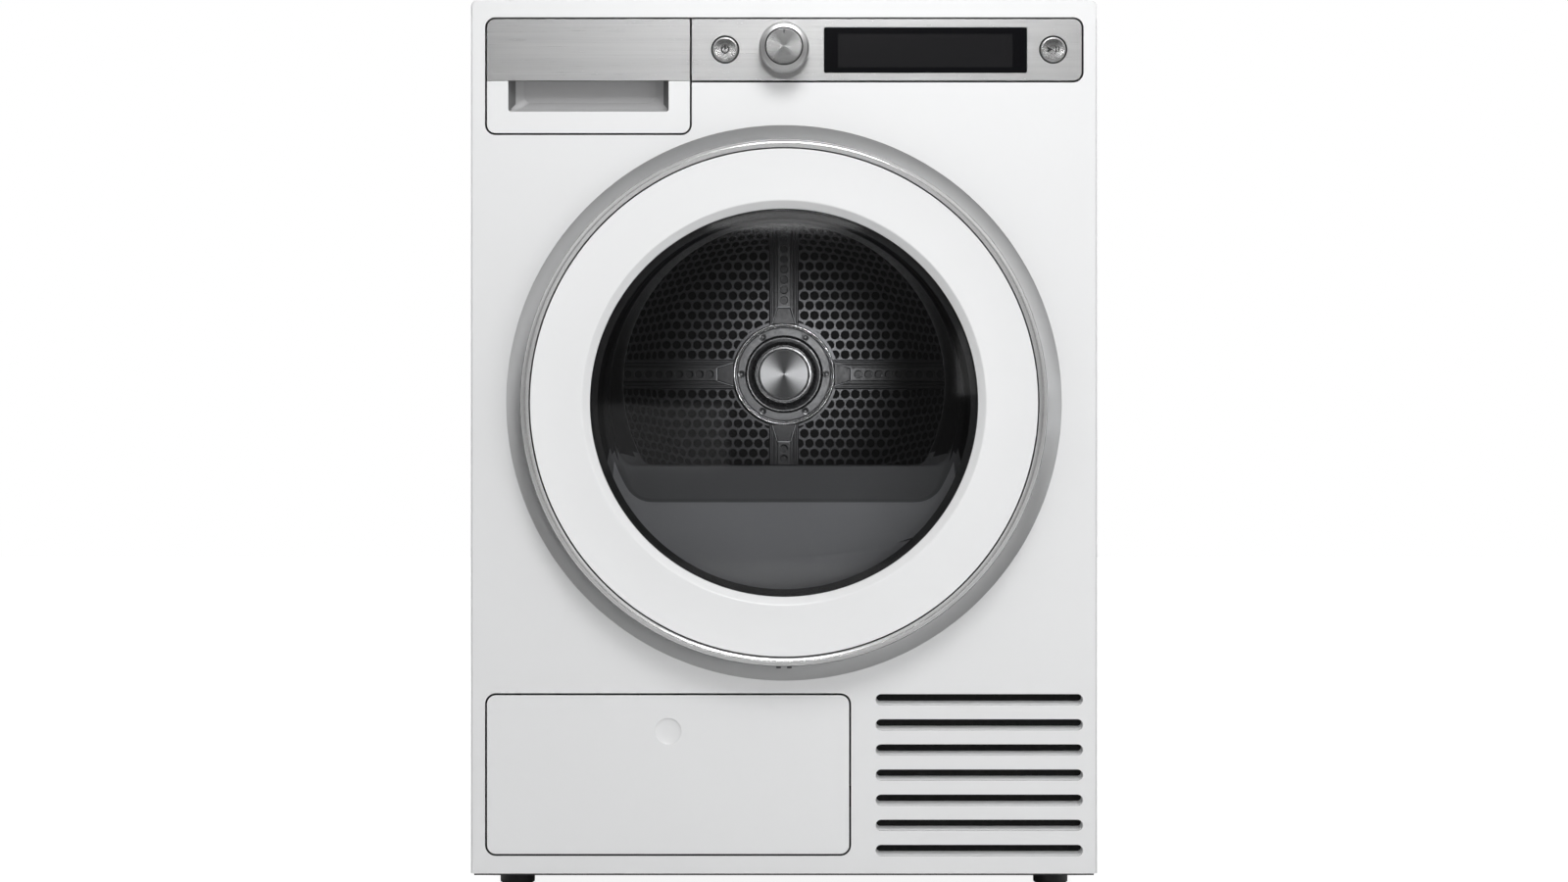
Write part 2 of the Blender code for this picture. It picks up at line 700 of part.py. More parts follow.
def container_tank():
    front = DRAWER_FRONT_D + GAP
    tank = prism("container_tank", tank_outline(), "Y", front, TANK_BACK_D, GREY)
    inner = offset(tank_outline(), -TANK_WALL)
    cut(tank, prism("cut_tank", inner, "Y", front + TANK_WALL, TANK_BACK_D - TANK_WALL))
    x, y = DRAWER_LEFT_X + 0.090, FACE_Y + TANK_BACK_D - 0.040
    fill = [(0.0, TANK_TOP_Z + 0.01), (TANK_FILL_R, TANK_TOP_Z + 0.01),
            (TANK_FILL_R, TANK_TOP_Z - 0.01), (0.0, TANK_TOP_Z - 0.01)]
    return cut(tank, lathe("cut_tank_fill", fill, (x, y, 0.0), "Z", SMALL))


def container_housing():
    outer = offset(tank_outline(), HOUSING_CLEAR + HOUSING_WALL)
    inner = offset(tank_outline(), HOUSING_CLEAR)
    housing = prism("container_housing", outer, "Y", *HOUSING_D, GREY)
    return cut(housing, prism("cut_housing", inner, "Y", HOUSING_D[0] - 0.01, HOUSING_D[1] + 0.01))


def container_front():
    """The white drawer front, its upper part set back for the trim, with the grip pocket."""
    xs, zs = (DRAWER_LEFT_X, DRAWER_RIGHT_X), (DRAWER_BOTTOM_Z, FASCIA_TOP_Z)
    corners = rounded(*xs, *zs, FASCIA_R)
    outline = corners[:5] + [(xs[1], zs[1])] + corners[10:]
    front = prism("container_front", outline, "Y", 0.0, DRAWER_FRONT_D, WHITE)
    step = block("cut_trim_step", (xs[0] - 0.01, xs[1] + 0.01), (-0.01, TRIM_SKIN + GAP),
                 (FASCIA_BOTTOM_Z - GAP, zs[1] + 0.01))
    pocket = (xs[0] + GRIP_SIDE, xs[1] - GRIP_SIDE)
    grip = block("cut_grip", pocket, (-0.01, GRIP_D), (zs[0] + GRIP_BOTTOM, zs[1] - 0.010),
                 radius=0.002)
    return cut(front, step, grip)


def container_trim():
    xs, zs = (DRAWER_LEFT_X, DRAWER_RIGHT_X), (FASCIA_BOTTOM_Z, FASCIA_TOP_Z)
    corners = rounded(*xs, *zs, FASCIA_R)
    outline = [(xs[0], zs[0]), (xs[1], zs[0]), (xs[1], zs[1])] + corners[10:15]
    return prism("container_trim", outline, "Y", 0.0, TRIM_SKIN, STEEL)


# ---- door -----------------------------------------------------------------------------------------
def door_trim():
    """The satin ring round the door, notched at the back for the hinge."""
    inner, outer, front = DOOR_R - TRIM_W, DOOR_R, DOOR_FRONT_D
    outline = [
        (inner, front + 0.0033),
        (inner + 0.0010, front + 0.0013),
        (inner + 0.0043, front),
        (outer - 0.0015, front + 0.0020),
        (outer, front + 0.0063),
        (outer, DOOR_BACK_D - 0.0040),
        (outer - 0.0020, DOOR_BACK_D),
        (inner, DOOR_BACK_D),
    ]
    trim = lathe("door_trim", outline, on_face(0.0, DOOR_Z), look=CHROME)
    return cut(trim, hinge_notch("cut_trim_notch"))


def hinge_notch(name):
    return block(name, (HINGE_X - 0.010, HINGE_X + 0.016), (NOTCH_FRONT_D, DOOR_BACK_D + 0.012),
                 (DOOR_Z - NOTCH_HALF_H, DOOR_Z + NOTCH_HALF_H))


def door_frame():
    """The white dished ring that holds the glass."""
    outer, front = DOOR_R - TRIM_W - GAP, DOOR_FRONT_D + 0.0026
    wall = 0.0045
    seat = GLASS_R + GAP
    outline = [
        (outer, front),
        (outer - 0.010, front + 0.0012),
        (BEZEL_R, front + 0.0037),
        (seat, GLASS_D[0] - 0.0005),
        (seat, GLASS_D[1] + 0.0004),
        (BEZEL_R - 0.0017, GLASS_D[1] + 0.0004),
        (BEZEL_R + 0.0023, front + 0.0072),
        (outer - wall - 0.005, front + 0.0047),
        (outer - wall, front + 0.0060),
        (outer - wall, -0.0020),
        (outer, -0.0020),
    ]
    return cut(lathe("door_frame", outline, on_face(0.0, DOOR_Z), look=WHITE),
               hinge_notch("cut_frame_notch"))


def door_glass():
    outline = [(0.0, GLASS_D[0]), (GLASS_R, GLASS_D[0]), (GLASS_R, GLASS_D[1]), (0.0, GLASS_D[1])]
    return lathe("door_glass", outline, on_face(0.0, DOOR_Z), look=SMOKED)


def door_inner_frame():
    """The dark back moulding: a flange behind the door and a tapered plug with the inner glass."""
    outer = DOOR_R - TRIM_W - GAP - 0.0003
    front = GLASS_D[1] + 0.0004 + GAP
    lip = PLUG_BACK_D - 0.0030
    outline = [
        (outer, DOOR_BACK_D - 0.0030),
        (PLUG_R + 0.0100, DOOR_BACK_D - 0.0030),
        (GLASS_R + 0.0035, front),
        (GLASS_R - 0.0070, front),
        (GLASS_R - 0.0040, front + 0.0040),
        (INNER_GLASS_R + 0.0008, lip),
        (INNER_GLASS_R - 0.0050, lip),
        (INNER_GLASS_R - 0.0050, PLUG_BACK_D),
        (PLUG_R, PLUG_BACK_D),
        (PLUG_R + 0.0080, DOOR_BACK_D),
        (outer, DOOR_BACK_D),
    ]
    return lathe("door_inner_frame", outline, on_face(0.0, DOOR_Z), look=DARK_GREY)


def door_inner_glass():
    back = PLUG_BACK_D - 0.0030 - GAP
    outline = [(0.0, back - 0.003), (INNER_GLASS_R - 0.0006, back - 0.003),
               (INNER_GLASS_R, back), (0.0, back)]
    return lathe("door_inner_glass", outline, on_face(0.0, DOOR_Z), look=CLEAR)


def door_hinge_leaf():
    """The door's half of the hinge: a plate inside the door with a barrel round the pin."""
    heights = (DOOR_Z - LEAF_HALF_H, DOOR_Z + LEAF_HALF_H)
    back = DOOR_BACK_D - 0.0030 - GAP
    leaf = block("door_hinge_leaf", (HINGE_X - 0.034, HINGE_X + 0.0015), (back - 0.0025, back),
                 heights, ZINC)
    web = block("add_leaf_web", (HINGE_X - 0.0015, HINGE_X + 0.0015), (HINGE_D, back), heights)
    barrel = prism("add_leaf_barrel", circle(HINGE_X, HINGE_D, KNUCKLE_R, SMALL), "Z", *heights)
    bore = prism("cut_leaf_bore", circle(HINGE_X, HINGE_D, PIN_R + GAP, SMALL), "Z",
                 heights[0] - 0.01, heights[1] + 0.01)
    return cut(fuse(leaf, web, barrel), bore)


def door_hinge_bracket():
    """The cabinet's half of the hinge: a plate on the recess, two arms and the pin."""
    back = RECESS_D - GAP
    plate = (back - 0.003, back)
    edge = HINGE_X + ARM_W / 2
    bracket = block("door_hinge_bracket", (HINGE_X - 0.018, edge), plate,
                    (DOOR_Z - ARM_Z[1], DOOR_Z + ARM_Z[1]), ZINC)
    for index, side in enumerate((-1, 1)):
        zs = sorted(DOOR_Z + side * z for z in ARM_Z)
        arm = block(f"add_arm_{index}", (HINGE_X - ARM_W / 2, edge), (HINGE_D, back), zs)
        nose = prism(f"add_nose_{index}", circle(HINGE_X, HINGE_D, ARM_W / 2, SMALL), "Z", *zs)
        fuse(bracket, arm, nose)
    pin = prism("add_pin", circle(HINGE_X, HINGE_D, PIN_R, SMALL), "Z",
                DOOR_Z - ARM_Z[1] - 0.001, DOOR_Z + ARM_Z[1] + 0.001)
    return fuse(bracket, pin)


def door_hook():
    """The latch hook on the door's free side."""
    near = DOOR_BACK_D + GAP
    tip = HOOK_TIP_D
    outline = [
        (near, -0.5),
        (near, 0.5),
        (tip - 0.009, 0.5),
        (tip - 0.006, 0.85),
        (tip, 0.45),
        (tip, -0.5),
    ]
    outline = [(d, DOOR_Z + share * 2 * HOOK_HALF_H) for d, share in outline]
    xs = (HOOK_X - HOOK_W / 2, HOOK_X + HOOK_W / 2)
    hook = prism("door_hook", outline, "X", *xs, ZINC)
    return hook


def door_latch():
    """The lock housing behind the recess, open towards the hook."""
    xs = (HOOK_X - 0.018, HOOK_X + 0.0135)
    latch = block("door_latch", xs, LATCH_D, (DOOR_Z - 0.032, DOOR_Z + 0.032), GREY)
    slot = (HOOK_X - HOOK_W / 2 - HOOK_SWING, HOOK_X + HOOK_W / 2 + 0.0035)
    heights = (DOOR_Z - 0.018, DOOR_Z + 0.018)
    return cut(latch, block("cut_latch", slot, (0.0, LATCH_D[1] - 0.004), heights))


def door_seal():
    """A soft ring on the recess that the closed door rests against."""
    back = RECESS_D - GAP
    inner, outer = SEAL_R
    outline = [(inner, back), (inner, back - 0.0030), (inner + 0.003, DOOR_BACK_D + GAP),
               (outer - 0.003, DOOR_BACK_D + GAP), (outer, back - 0.0030), (outer, back)]
    return lathe("door_seal", outline, on_face(0.0, DOOR_Z), look=RUBBER)


# ---- loading opening --------------------------------------------------------------------------------
def funnel(name, radius_change):
    """A plug from the round port in the recess back to the drum's mouth, to add or to cut."""
    front, back = FUNNEL_FRONT_D, BULKHEAD_D + 0.001
    if radius_change == 0:
        front, back = front - 0.002, back + 0.010
    sections = (
        (front, FUNNEL_FRONT_R + radius_change, DOOR_Z),
        (FUNNEL_STRAIGHT_D, FUNNEL_FRONT_R + radius_change, DOOR_Z),
        (BULKHEAD_D - 0.002, MOUTH_R + radius_change, MOUTH_Z),
        (back, MOUTH_R + radius_change, MOUTH_Z),
    )
    shape = bmesh.new()
    rings = []
    for depth, radius, z in sections:
        points = circle(0.0, z, radius, FINE)
        rings.append([shape.verts.new((x, FACE_Y + depth, height)) for x, height in points])
    for near, far in zip(rings, rings[1:]):
        for index in range(FINE):
            after = (index + 1) % FINE
            shape.faces.new((near[index], near[after], far[after], far[index]))
    shape.faces.new(rings[0])
    shape.faces.new(rings[-1])
    bmesh.ops.recalc_face_normals(shape, faces=shape.faces)
    mesh = bpy.data.meshes.new(name)
    shape.to_mesh(mesh)
    shape.free()
    return add_object(name, mesh)


def front_bulkhead():
    """The dark wall in front of the drum, with the funnel to the port and the roller axles."""
    wall = (BULKHEAD_D, BULKHEAD_D + BULKHEAD_SKIN)
    bulkhead = block("front_bulkhead", (-BULKHEAD_X, BULKHEAD_X), wall, BULKHEAD_Z, DARK_GREY,
                     radius=0.020)
    clear = offset(tank_outline(), HOUSING_CLEAR + HOUSING_WALL + GAP)
    clear = [(x, z + 0.03 if z > TANK_TOP_Z else z) for x, z in clear]
    clear = [(x - 0.03 if x < -0.25 else x, z) for x, z in clear]
    cut(bulkhead, prism("cut_tank_way", clear, "Y", 0.0, 0.2))
    fuse(bulkhead, funnel("add_funnel", FUNNEL_WALL))
    cut(bulkhead, mouth_cutter())
    side = FILTER_HOUSE_X + GAP
    cut(bulkhead, block("cut_filter_way", (-side, side), (0.0, BULKHEAD_D), (0.15, MOUTH_SILL_Z)))
    for index, (x, z) in enumerate(roller_places()):
        axle = prism(f"add_axle_{index}", circle(x, z, AXLE_R, SMALL), "Y", BULKHEAD_D + 0.001,
                     ROLLER_D + ROLLER_W + 0.004)
        boss = prism(f"add_boss_{index}", circle(x, z, AXLE_R + 0.005, SMALL), "Y",
                     BULKHEAD_D + 0.001, ROLLER_D - GAP)
        fuse(bulkhead, boss, axle)
    return bulkhead


def mouth_cutter():
    """The inside of the funnel, cut off flat below the sill where it passes the wall."""
    way = funnel("cut_mouth", 0.0)
    deep = block("cut_mouth_sill", (-0.3, 0.3), (BULKHEAD_D, BULKHEAD_D + 0.1),
                 (0.0, MOUTH_SILL_Z))
    return cut(way, deep)


def filter_housing():
    """The sloped housing under the mouth, with the slot that the lint filter stands in."""
    depth = BULKHEAD_D - GAP
    outline = [
        (0.0560, FILTER_HOUSE_BOTTOM_Z),
        (depth, FILTER_HOUSE_BOTTOM_Z),
        (depth, MOUTH_SILL_Z - GAP),
        (0.0790, MOUTH_SILL_Z - GAP),
        (0.0750, 0.3745),
        (0.0490, 0.3200),
        (0.0490, 0.2500),
    ]
    house = prism("filter_housing", outline, "X", -FILTER_HOUSE_X, FILTER_HOUSE_X, BLACK)
    slot = (FILTER_D[0] - 0.0012, FILTER_D[1] + 0.0012)
    wide = FILTER_X + 0.0015
    cut(
        house,
        block("cut_filter_slot", (-wide, wide), slot, (FILTER_Z[0] - GAP, 0.5)),
        block("cut_filter_drop", (-wide + 0.012, wide - 0.012), slot, (0.1, 0.3)),
    )
    return house


def lint_filter():
    """A flat filter cassette with its grip along the top, hollow from below."""
    cassette = block("lint_filter", (-FILTER_X, FILTER_X), FILTER_D, FILTER_Z, GREY, radius=0.003)
    inner = (FILTER_D[0] + 0.0025, FILTER_D[1] - 0.0025)
    hollow = block("cut_filter", (-FILTER_X + 0.004, FILTER_X - 0.004), inner,
                   (FILTER_Z[0] - 0.01, FILTER_Z[1] - 0.020))
    return cut(cassette, hollow)


# ---- drum ---------------------------------------------------------------------------------------------
def drum_shell():
    outer, inner = DRUM_R, DRUM_R - DRUM_SKIN
    front, back = DRUM_FRONT_D, DRUM_BACK_D
    outline = [(outer, front), (outer, back), (inner, back), (inner, front + 0.002),
               (inner - 0.010, front + 0.002), (inner - 0.010, front)]
    return lathe("drum_shell", outline, on_face(0.0, DRUM_Z), look=STEEL)


def drum_back():
    """The dished back of the drum, inside the shell's rear edge."""
    rim = DRUM_R - DRUM_SKIN - GAP
    skin = DRUM_SKIN
    hole = SHAFT_R + GAP
    outline = [
        (rim, DRUM_BACK_D - 0.020),
        (rim, DRUM_BACK_D),
        (rim - 0.006, DRUM_BACK_D),
        (DRUM_FLAT_R, DRUM_DISH_D + skin),
        (hole, DRUM_DISH_D + skin),
        (hole, DRUM_DISH_D),
        (DRUM_FLAT_R, DRUM_DISH_D),
        (rim - 0.006, DRUM_BACK_D - skin),
        (rim - skin, DRUM_BACK_D - skin - 0.001),
        (rim - skin, DRUM_BACK_D - 0.020),
    ]
    return lathe("drum_back", outline, on_face(0.0, DRUM_Z), look=STEEL)


def drum_spider():
    """The black hub with four ribs in front of the drum's back, and the shaft through it."""
    near, back = DRUM_DISH_D - GAP - RIB_H, DRUM_DISH_D - GAP
    outline = [
        (0.0, near - 0.0030),
        (HUB_CAP_R + 0.006, near - 0.0030),
        (HUB_CAP_R + 0.008, near),
        (HUB_RING_R - 0.004, near),
        (HUB_RING_R, near + 0.003),
        (HUB_RING_R, back),
        (SHAFT_R, back),
        (SHAFT_R, SHAFT_END_D),
        (0.0, SHAFT_END_D),
    ]
    spider = lathe("drum_spider", outline, on_face(0.0, DRUM_Z), steps=MEDIUM, look=BLACK)
    reach = DRUM_FLAT_R - 0.002
    for index, (xs, zs) in enumerate((((-reach, reach), (-RIB_W / 2, RIB_W / 2)),
                                      ((-RIB_W / 2, RIB_W / 2), (-reach, reach)))):
        zs = tuple(DRUM_Z + z for z in zs)
        fuse(spider, block(f"add_rib_{index}", xs, (near + 0.0015, back), zs))
    return spider


def hub_cap():
    back = DRUM_DISH_D - GAP - RIB_H - 0.0030 - GAP
    outline = [
        (0.0, back - 0.005),
        (HUB_CAP_R - 0.006, back - 0.005),
        (HUB_CAP_R - 0.001, back - 0.0035),
        (HUB_CAP_R, back),
        (0.0, back),
    ]
    return lathe("hub_cap", outline, on_face(0.0, DRUM_Z), steps=MEDIUM, look=ALUMINIUM)


def drum_lifters():
    """Lifters spaced evenly round the inside of the drum."""
    rest = DRUM_R - DRUM_SKIN - GAP
    for index in range(LIFTER_COUNT):
        angle = math.radians(90 + 180 / LIFTER_COUNT) + 2 * math.pi * index / LIFTER_COUNT
        across, height = LIFTER_W / 2, LIFTER_H
        flat = math.sqrt(rest**2 - across**2) - 0.0002
        outline = [
            (-across, flat),
            (-across * 0.35, flat - height * 0.9),
            (0.0, flat - height),
            (across * 0.35, flat - height * 0.9),
            (across, flat),
        ]
        turned = [
            (x * math.cos(angle) - r * math.sin(angle),
             DRUM_Z + x * math.sin(angle) + r * math.cos(angle))
            for x, r in outline
        ]
        prism(f"drum_lifter_{index + 1}", turned, "Y", *LIFTER_D, GREY)


def bearing_housing():
    back = REAR_D - SHEET - GAP
    outline = [
        (SHAFT_R + GAP, back - 0.030),
        (0.020, back - 0.030),
        (0.022, back - 0.004),
        (0.045, back - 0.004),
        (0.045, back),
        (SHAFT_R + GAP, back),
    ]
    return lathe("bearing_housing", outline, on_face(0.0, DRUM_Z), steps=32, look=ALUMINIUM)


def roller_places():
    reach = DRUM_R + ROLLER_R + GAP
    return [(side * reach * math.sin(ROLLER_ANGLE), DRUM_Z - reach * math.cos(ROLLER_ANGLE))
            for side in (-1, 1)]


def support_rollers():
    outline = [
        (AXLE_R + GAP, ROLLER_D),
        (ROLLER_R * 0.92, ROLLER_D),
        (ROLLER_R, ROLLER_D + 0.003),
        (ROLLER_R, ROLLER_D + ROLLER_W - 0.003),
        (ROLLER_R * 0.92, ROLLER_D + ROLLER_W),
        (AXLE_R + GAP, ROLLER_D + ROLLER_W),
    ]
    for name, (x, z) in zip(("support_roller_left", "support_roller_right"), roller_places()):
        lathe(name, outline, on_face(x, z), steps=32, look=RUBBER)


# ---- drive and heat pump --------------------------------------------------------------------------------
def drive_belt():
    """A flat belt round the drum and the motor pulley, run along their outer tangents."""
    def loop(extra):
        big = (DRUM_R + GAP) / math.cos(math.pi / 56) + extra
        small = PULLEY_R + GAP + extra
        dx, dz = MOTOR_X, MOTOR_Z - DRUM_Z
        along = math.atan2(dz, dx)
        open_angle = math.acos((big - small) / math.hypot(dx, dz))
        points = []
        steps = FINE - 16
        sweep = 2 * math.pi - 2 * open_angle
        for step in range(steps + 1):
            turn = along + open_angle + sweep * step / steps
            points.append((big * math.cos(turn), DRUM_Z + big * math.sin(turn)))
        for step in range(7):
            turn = along - open_angle + 2 * open_angle * step / 6
            points.append((MOTOR_X + small * math.cos(turn), MOTOR_Z + small * math.sin(turn)))
        return points

    middle = sum(PULLEY_D) / 2
    width = (middle - BELT_W / 2, middle + BELT_W / 2)
    belt = prism("drive_belt", loop(BELT_SKIN), "Y", *width, RUBBER)
    clear = (width[0] - 0.01, width[1] + 0.01)
    return cut(belt, prism("cut_belt", loop(0.0), "Y", *clear))


def motor_body():
    floor = PAN_BOTTOM_Z + PAN_WALL + GAP
    outline = [
        (ROTOR_R + GAP, MOTOR_D[0]),
        (MOTOR_R * 0.7, MOTOR_D[0]),
        (MOTOR_R, MOTOR_D[0] + 0.015),
        (MOTOR_R, MOTOR_D[1] - 0.015),
        (MOTOR_R * 0.7, MOTOR_D[1]),
        (ROTOR_R + GAP, MOTOR_D[1]),
    ]
    body = lathe("motor_body", outline, on_face(MOTOR_X, MOTOR_Z), steps=32, look=ALUMINIUM)
    depths = (MOTOR_D[0] + 0.035, MOTOR_D[1] - 0.035)
    foot = block("add_motor_foot", (MOTOR_X - 0.035, MOTOR_X + 0.035), depths,
                 (floor, MOTOR_Z - MOTOR_R * 0.6))
    return fuse(body, foot)


def motor_shaft():
    """The motor's shaft with the belt pulley on its front end."""
    low, high = PULLEY_D
    outline = [
        (0.0, low - 0.002),
        (PULLEY_R + 0.003, low - 0.002),
        (PULLEY_R + 0.003, low),
        (PULLEY_R, low + 0.001),
        (PULLEY_R, high - 0.001),
        (PULLEY_R + 0.003, high),
        (PULLEY_R + 0.003, high + 0.002),
        (ROTOR_R, high + 0.002),
        (ROTOR_R, WHEEL_D[1] + 0.004),
        (0.0, WHEEL_D[1] + 0.004),
    ]
    return lathe("motor_shaft", outline, on_face(MOTOR_X, MOTOR_Z), steps=24, look=STEEL)


def blower_wheel():
    """A disc with a hub and straight vanes round its edge."""
    front, back = WHEEL_D
    outline = [
        (ROTOR_R + GAP, front + 0.010),
        (ROTOR_R + 0.006, front + 0.010),
        (ROTOR_R + 0.006, back - 0.003),
        (WHEEL_R, back - 0.003),
        (WHEEL_R, back),
        (ROTOR_R + GAP, back),
    ]
    wheel = lathe("blower_wheel", outline, on_face(MOTOR_X, MOTOR_Z), steps=MEDIUM, look=GREY)
    inner, outer = 0.046, WHEEL_R - 0.001
    for index in range(VANES):
        turn = 2 * math.pi * index / VANES
        ends = []
        for radius, across in ((inner, -1), (outer, -1), (outer, 1), (inner, 1)):
            x, z = radius, across * 0.0010
            ends.append((MOTOR_X + x * math.cos(turn) - z * math.sin(turn),
                         MOTOR_Z + x * math.sin(turn) + z * math.cos(turn)))
        fuse(wheel, prism(f"add_vane_{index}", ends, "Y", front, back - 0.0015))
    return wheel


def blower_housing():
    """The blower's drum-shaped case, open to the rear duct, with a round inlet in front."""
    front, back = BLOWER_D
    outline = [
        (0.045, front),
        (BLOWER_R, front),
        (BLOWER_R, back),
        (BLOWER_R - BLOWER_WALL, back),
        (BLOWER_R - BLOWER_WALL, front + BLOWER_WALL),
        (0.045, front + BLOWER_WALL),
    ]
    return lathe("blower_housing", outline, on_face(MOTOR_X, MOTOR_Z), steps=MEDIUM, look=GREY)


def compressor():
    floor = PAN_BOTTOM_Z + PAN_WALL + GAP
    high = COMPRESSOR_TOP_Z
    outline = [
        (0.0, high),
        (COMPRESSOR_R * 0.6, high - 0.006),
        (COMPRESSOR_R, high - 0.030),
        (COMPRESSOR_R, floor + 0.020),
        (COMPRESSOR_R * 1.1, floor + 0.016),
        (COMPRESSOR_R * 1.1, floor),
        (0.0, floor),
    ]
    return lathe("compressor", outline, (COMPRESSOR_X, FACE_Y + COMPRESSOR_D, 0.0), "Z", 32, BLACK)


def heat_pump_housing():
    """The air duct that holds both exchangers, open at its front and at the blower's side."""
    low = EXCHANGER_LOW_Z
    xs, wall = (EXCHANGER_X[0] - 0.003, EXCHANGER_X[1] + 0.003), 0.003
    housing = block("heat_pump_housing", xs, EXCHANGER_D, (low, EXCHANGER_TOP_Z), GREY)
    inside = (xs[0] + wall, xs[1] - wall)
    cut(housing, block("cut_exchanger", inside, (EXCHANGER_D[0] - 0.01, EXCHANGER_D[1] - wall),
                       (low + wall, EXCHANGER_TOP_Z - wall)))
    inlet = block("cut_air_inlet", (-0.100, inside[1] - 0.004), (0.058, 0.100),
                  (EXCHANGER_TOP_Z - 0.02, EXCHANGER_TOP_Z + 0.02))
    outlet = block("cut_air_outlet", (inside[1] - 0.02, xs[1] + 0.02), (0.345, 0.405),
                   (low + 0.02, EXCHANGER_TOP_Z - 0.04))
    cut(housing, inlet, outlet)
    floor = PAN_BOTTOM_Z + PAN_WALL + GAP
    for index, left in enumerate((xs[0] + SKID_W, xs[1] - 2 * SKID_W)):
        skid = block(f"add_skid_{index}", (left, left + SKID_W),
                     (EXCHANGER_D[0] + 0.080, EXCHANGER_D[1] - 0.020), (floor, low + 0.001))
        fuse(housing, skid)
    return housing


def exchanger(name, depths, look, grooves):
    """A finned block: upright fins in front of a solid back."""
    low = EXCHANGER_LOW_Z + 0.0033
    xs = (EXCHANGER_X[0] + 0.0006, EXCHANGER_X[1] - 0.0006)
    fins = block(name, xs, depths, (low, EXCHANGER_TOP_Z - 0.0040), look)
    pitch = (xs[1] - xs[0]) / grooves
    for index in range(grooves):
        left = xs[0] + pitch * (index + (1 - FIN_GAP) / 2)
        gap = block(f"cut_{name}_{index}", (left, left + pitch * FIN_GAP),
                    (depths[0] - 0.01, depths[1] - FIN_BACK), (low - 0.01, EXCHANGER_TOP_Z))
        cut(fins, gap)
    return fins


def exchanger_cover():
    """The inner lid of the exchanger, behind the service flap."""
    zs = (FLAP_BOTTOM_Z + 0.006, FLAP_TOP_Z - 0.006)
    cover = block("exchanger_cover", (EXCHANGER_X[0] - 0.003, EXCHANGER_X[1] + 0.003), COVER_D, zs,
                  GREY, radius=0.006)
    inner = (COVER_D[0] + 0.003, COVER_D[1] + 0.01)
    hollow = block("cut_cover", (EXCHANGER_X[0], EXCHANGER_X[1]), inner,
                   (zs[0] + 0.003, zs[1] - 0.003), radius=0.004)
    return cut(cover, hollow)


def cover_levers():
    """Two turning levers that hold the exchanger cover shut."""
    middle = (FLAP_TOP_Z + FLAP_BOTTOM_Z) / 2
    for name, x in (("cover_lever_left", EXCHANGER_X[0] + 0.032),
                    ("cover_lever_right", EXCHANGER_X[1] - 0.032)):
        lever = block(name, (x - LEVER_W / 2, x + LEVER_W / 2), LEVER_D,
                      (middle - LEVER_H / 2, middle + LEVER_H / 2), DARK_GREY, radius=0.004)
        joint_empty(f"axis_{name}", on_face(x, middle), [lever])


def service_flap():
    """The flap over the exchanger, with a finger dimple, hinged along its lower edge."""
    flap = block("service_flap", (FLAP_LEFT_X, FLAP_RIGHT_X), (0.0, FLAP_SKIN),
                 (FLAP_BOTTOM_Z, FLAP_TOP_Z), WHITE, radius=FLAP_R)
    centre = (FLAP_LEFT_X + FLAP_RIGHT_X) / 2
    dimple = [(0.0, -0.001), (DIMPLE_R, -0.001), (DIMPLE_R, 0.0004), (DIMPLE_R * 0.9, 0.0014),
              (DIMPLE_R * 0.5, 0.0022), (0.0, 0.0024)]
    cut(flap, lathe("cut_dimple", dimple, on_face(centre, FLAP_TOP_Z - DIMPLE_FROM_TOP),
                    steps=MEDIUM))
    for index in range(3):
        x = centre + (index - 1) * LUG_PITCH
        lug = block(f"add_lug_{index}", (x - LUG_W / 2, x + LUG_W / 2), (0.0030, 0.0080),
                    (FLAP_BOTTOM_Z + 0.001, FLAP_BOTTOM_Z + 0.012))
        fuse(flap, lug)
    return flap


# ---- assembly -------------------------------------------------------------------------------------------
def build_cabinet():
    base_pan()
    levelling_feet()
    side_panel("side_panel_left", -1)
    side_panel("side_panel_right", 1)
    top_cover()
    front_panel()
    vent_louvre()
    rear_panel()
    rear_duct_cover()
    rear_fittings()


def build_controls():
    control_fascia()
    display_glass()
    selector_knob()
    push_button("power_button", POWER_X)
    push_button("start_button", START_X)
    container_housing()
    drawer = [container_front(), container_trim(), container_tank()]
    joint_empty("slide_container", on_face((DRAWER_LEFT_X + DRAWER_RIGHT_X) / 2, DRAWER_BOTTOM_Z),
                drawer)


def build_door():
    leaves = [door_trim(), door_frame(), door_glass(), door_inner_frame(), door_inner_glass(),
              door_hinge_leaf(), door_hook()]
    joint_empty("axis_door", (HINGE_X, FACE_Y + HINGE_D, DOOR_Z), leaves)
    door_hinge_bracket()
    door_latch()
    door_seal()
    front_bulkhead()
    filter_housing()
    lint_filter()


def build_drum():
    drum_shell()
    drum_back()
    drum_spider()
    hub_cap()
    drum_lifters()
    bearing_housing()
    support_rollers()
    drive_belt()


def build_machinery():
    motor_body()
    motor_shaft()
    blower_wheel()
    blower_housing()
    compressor()
    heat_pump_housing()
    exchanger("evaporator", (0.070, 0.170), ALUMINIUM, 8)
    exchanger("condenser", (0.190, 0.330), ALUMINIUM, 8)
    exchanger_cover()
    cover_levers()
    flap = service_flap()
    middle = (FLAP_LEFT_X + FLAP_RIGHT_X) / 2
    joint_empty("axis_flap", (middle, FACE_Y + FLAP_AXIS_D, FLAP_BOTTOM_Z + FLAP_AXIS_UP), [flap])


clear_scene()
PIECES = new_collection("clothes_dryer")
CUTTERS = new_collection("cutters")
CUTTERS.hide_render = True
build_cabinet()
build_controls()
build_door()
build_drum()
build_machinery()
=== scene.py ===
"""Looks of the clothes dryer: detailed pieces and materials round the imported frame.

Lengths are metres. Depths written as d run backwards from the face of the front panel.
"""

import json
import math

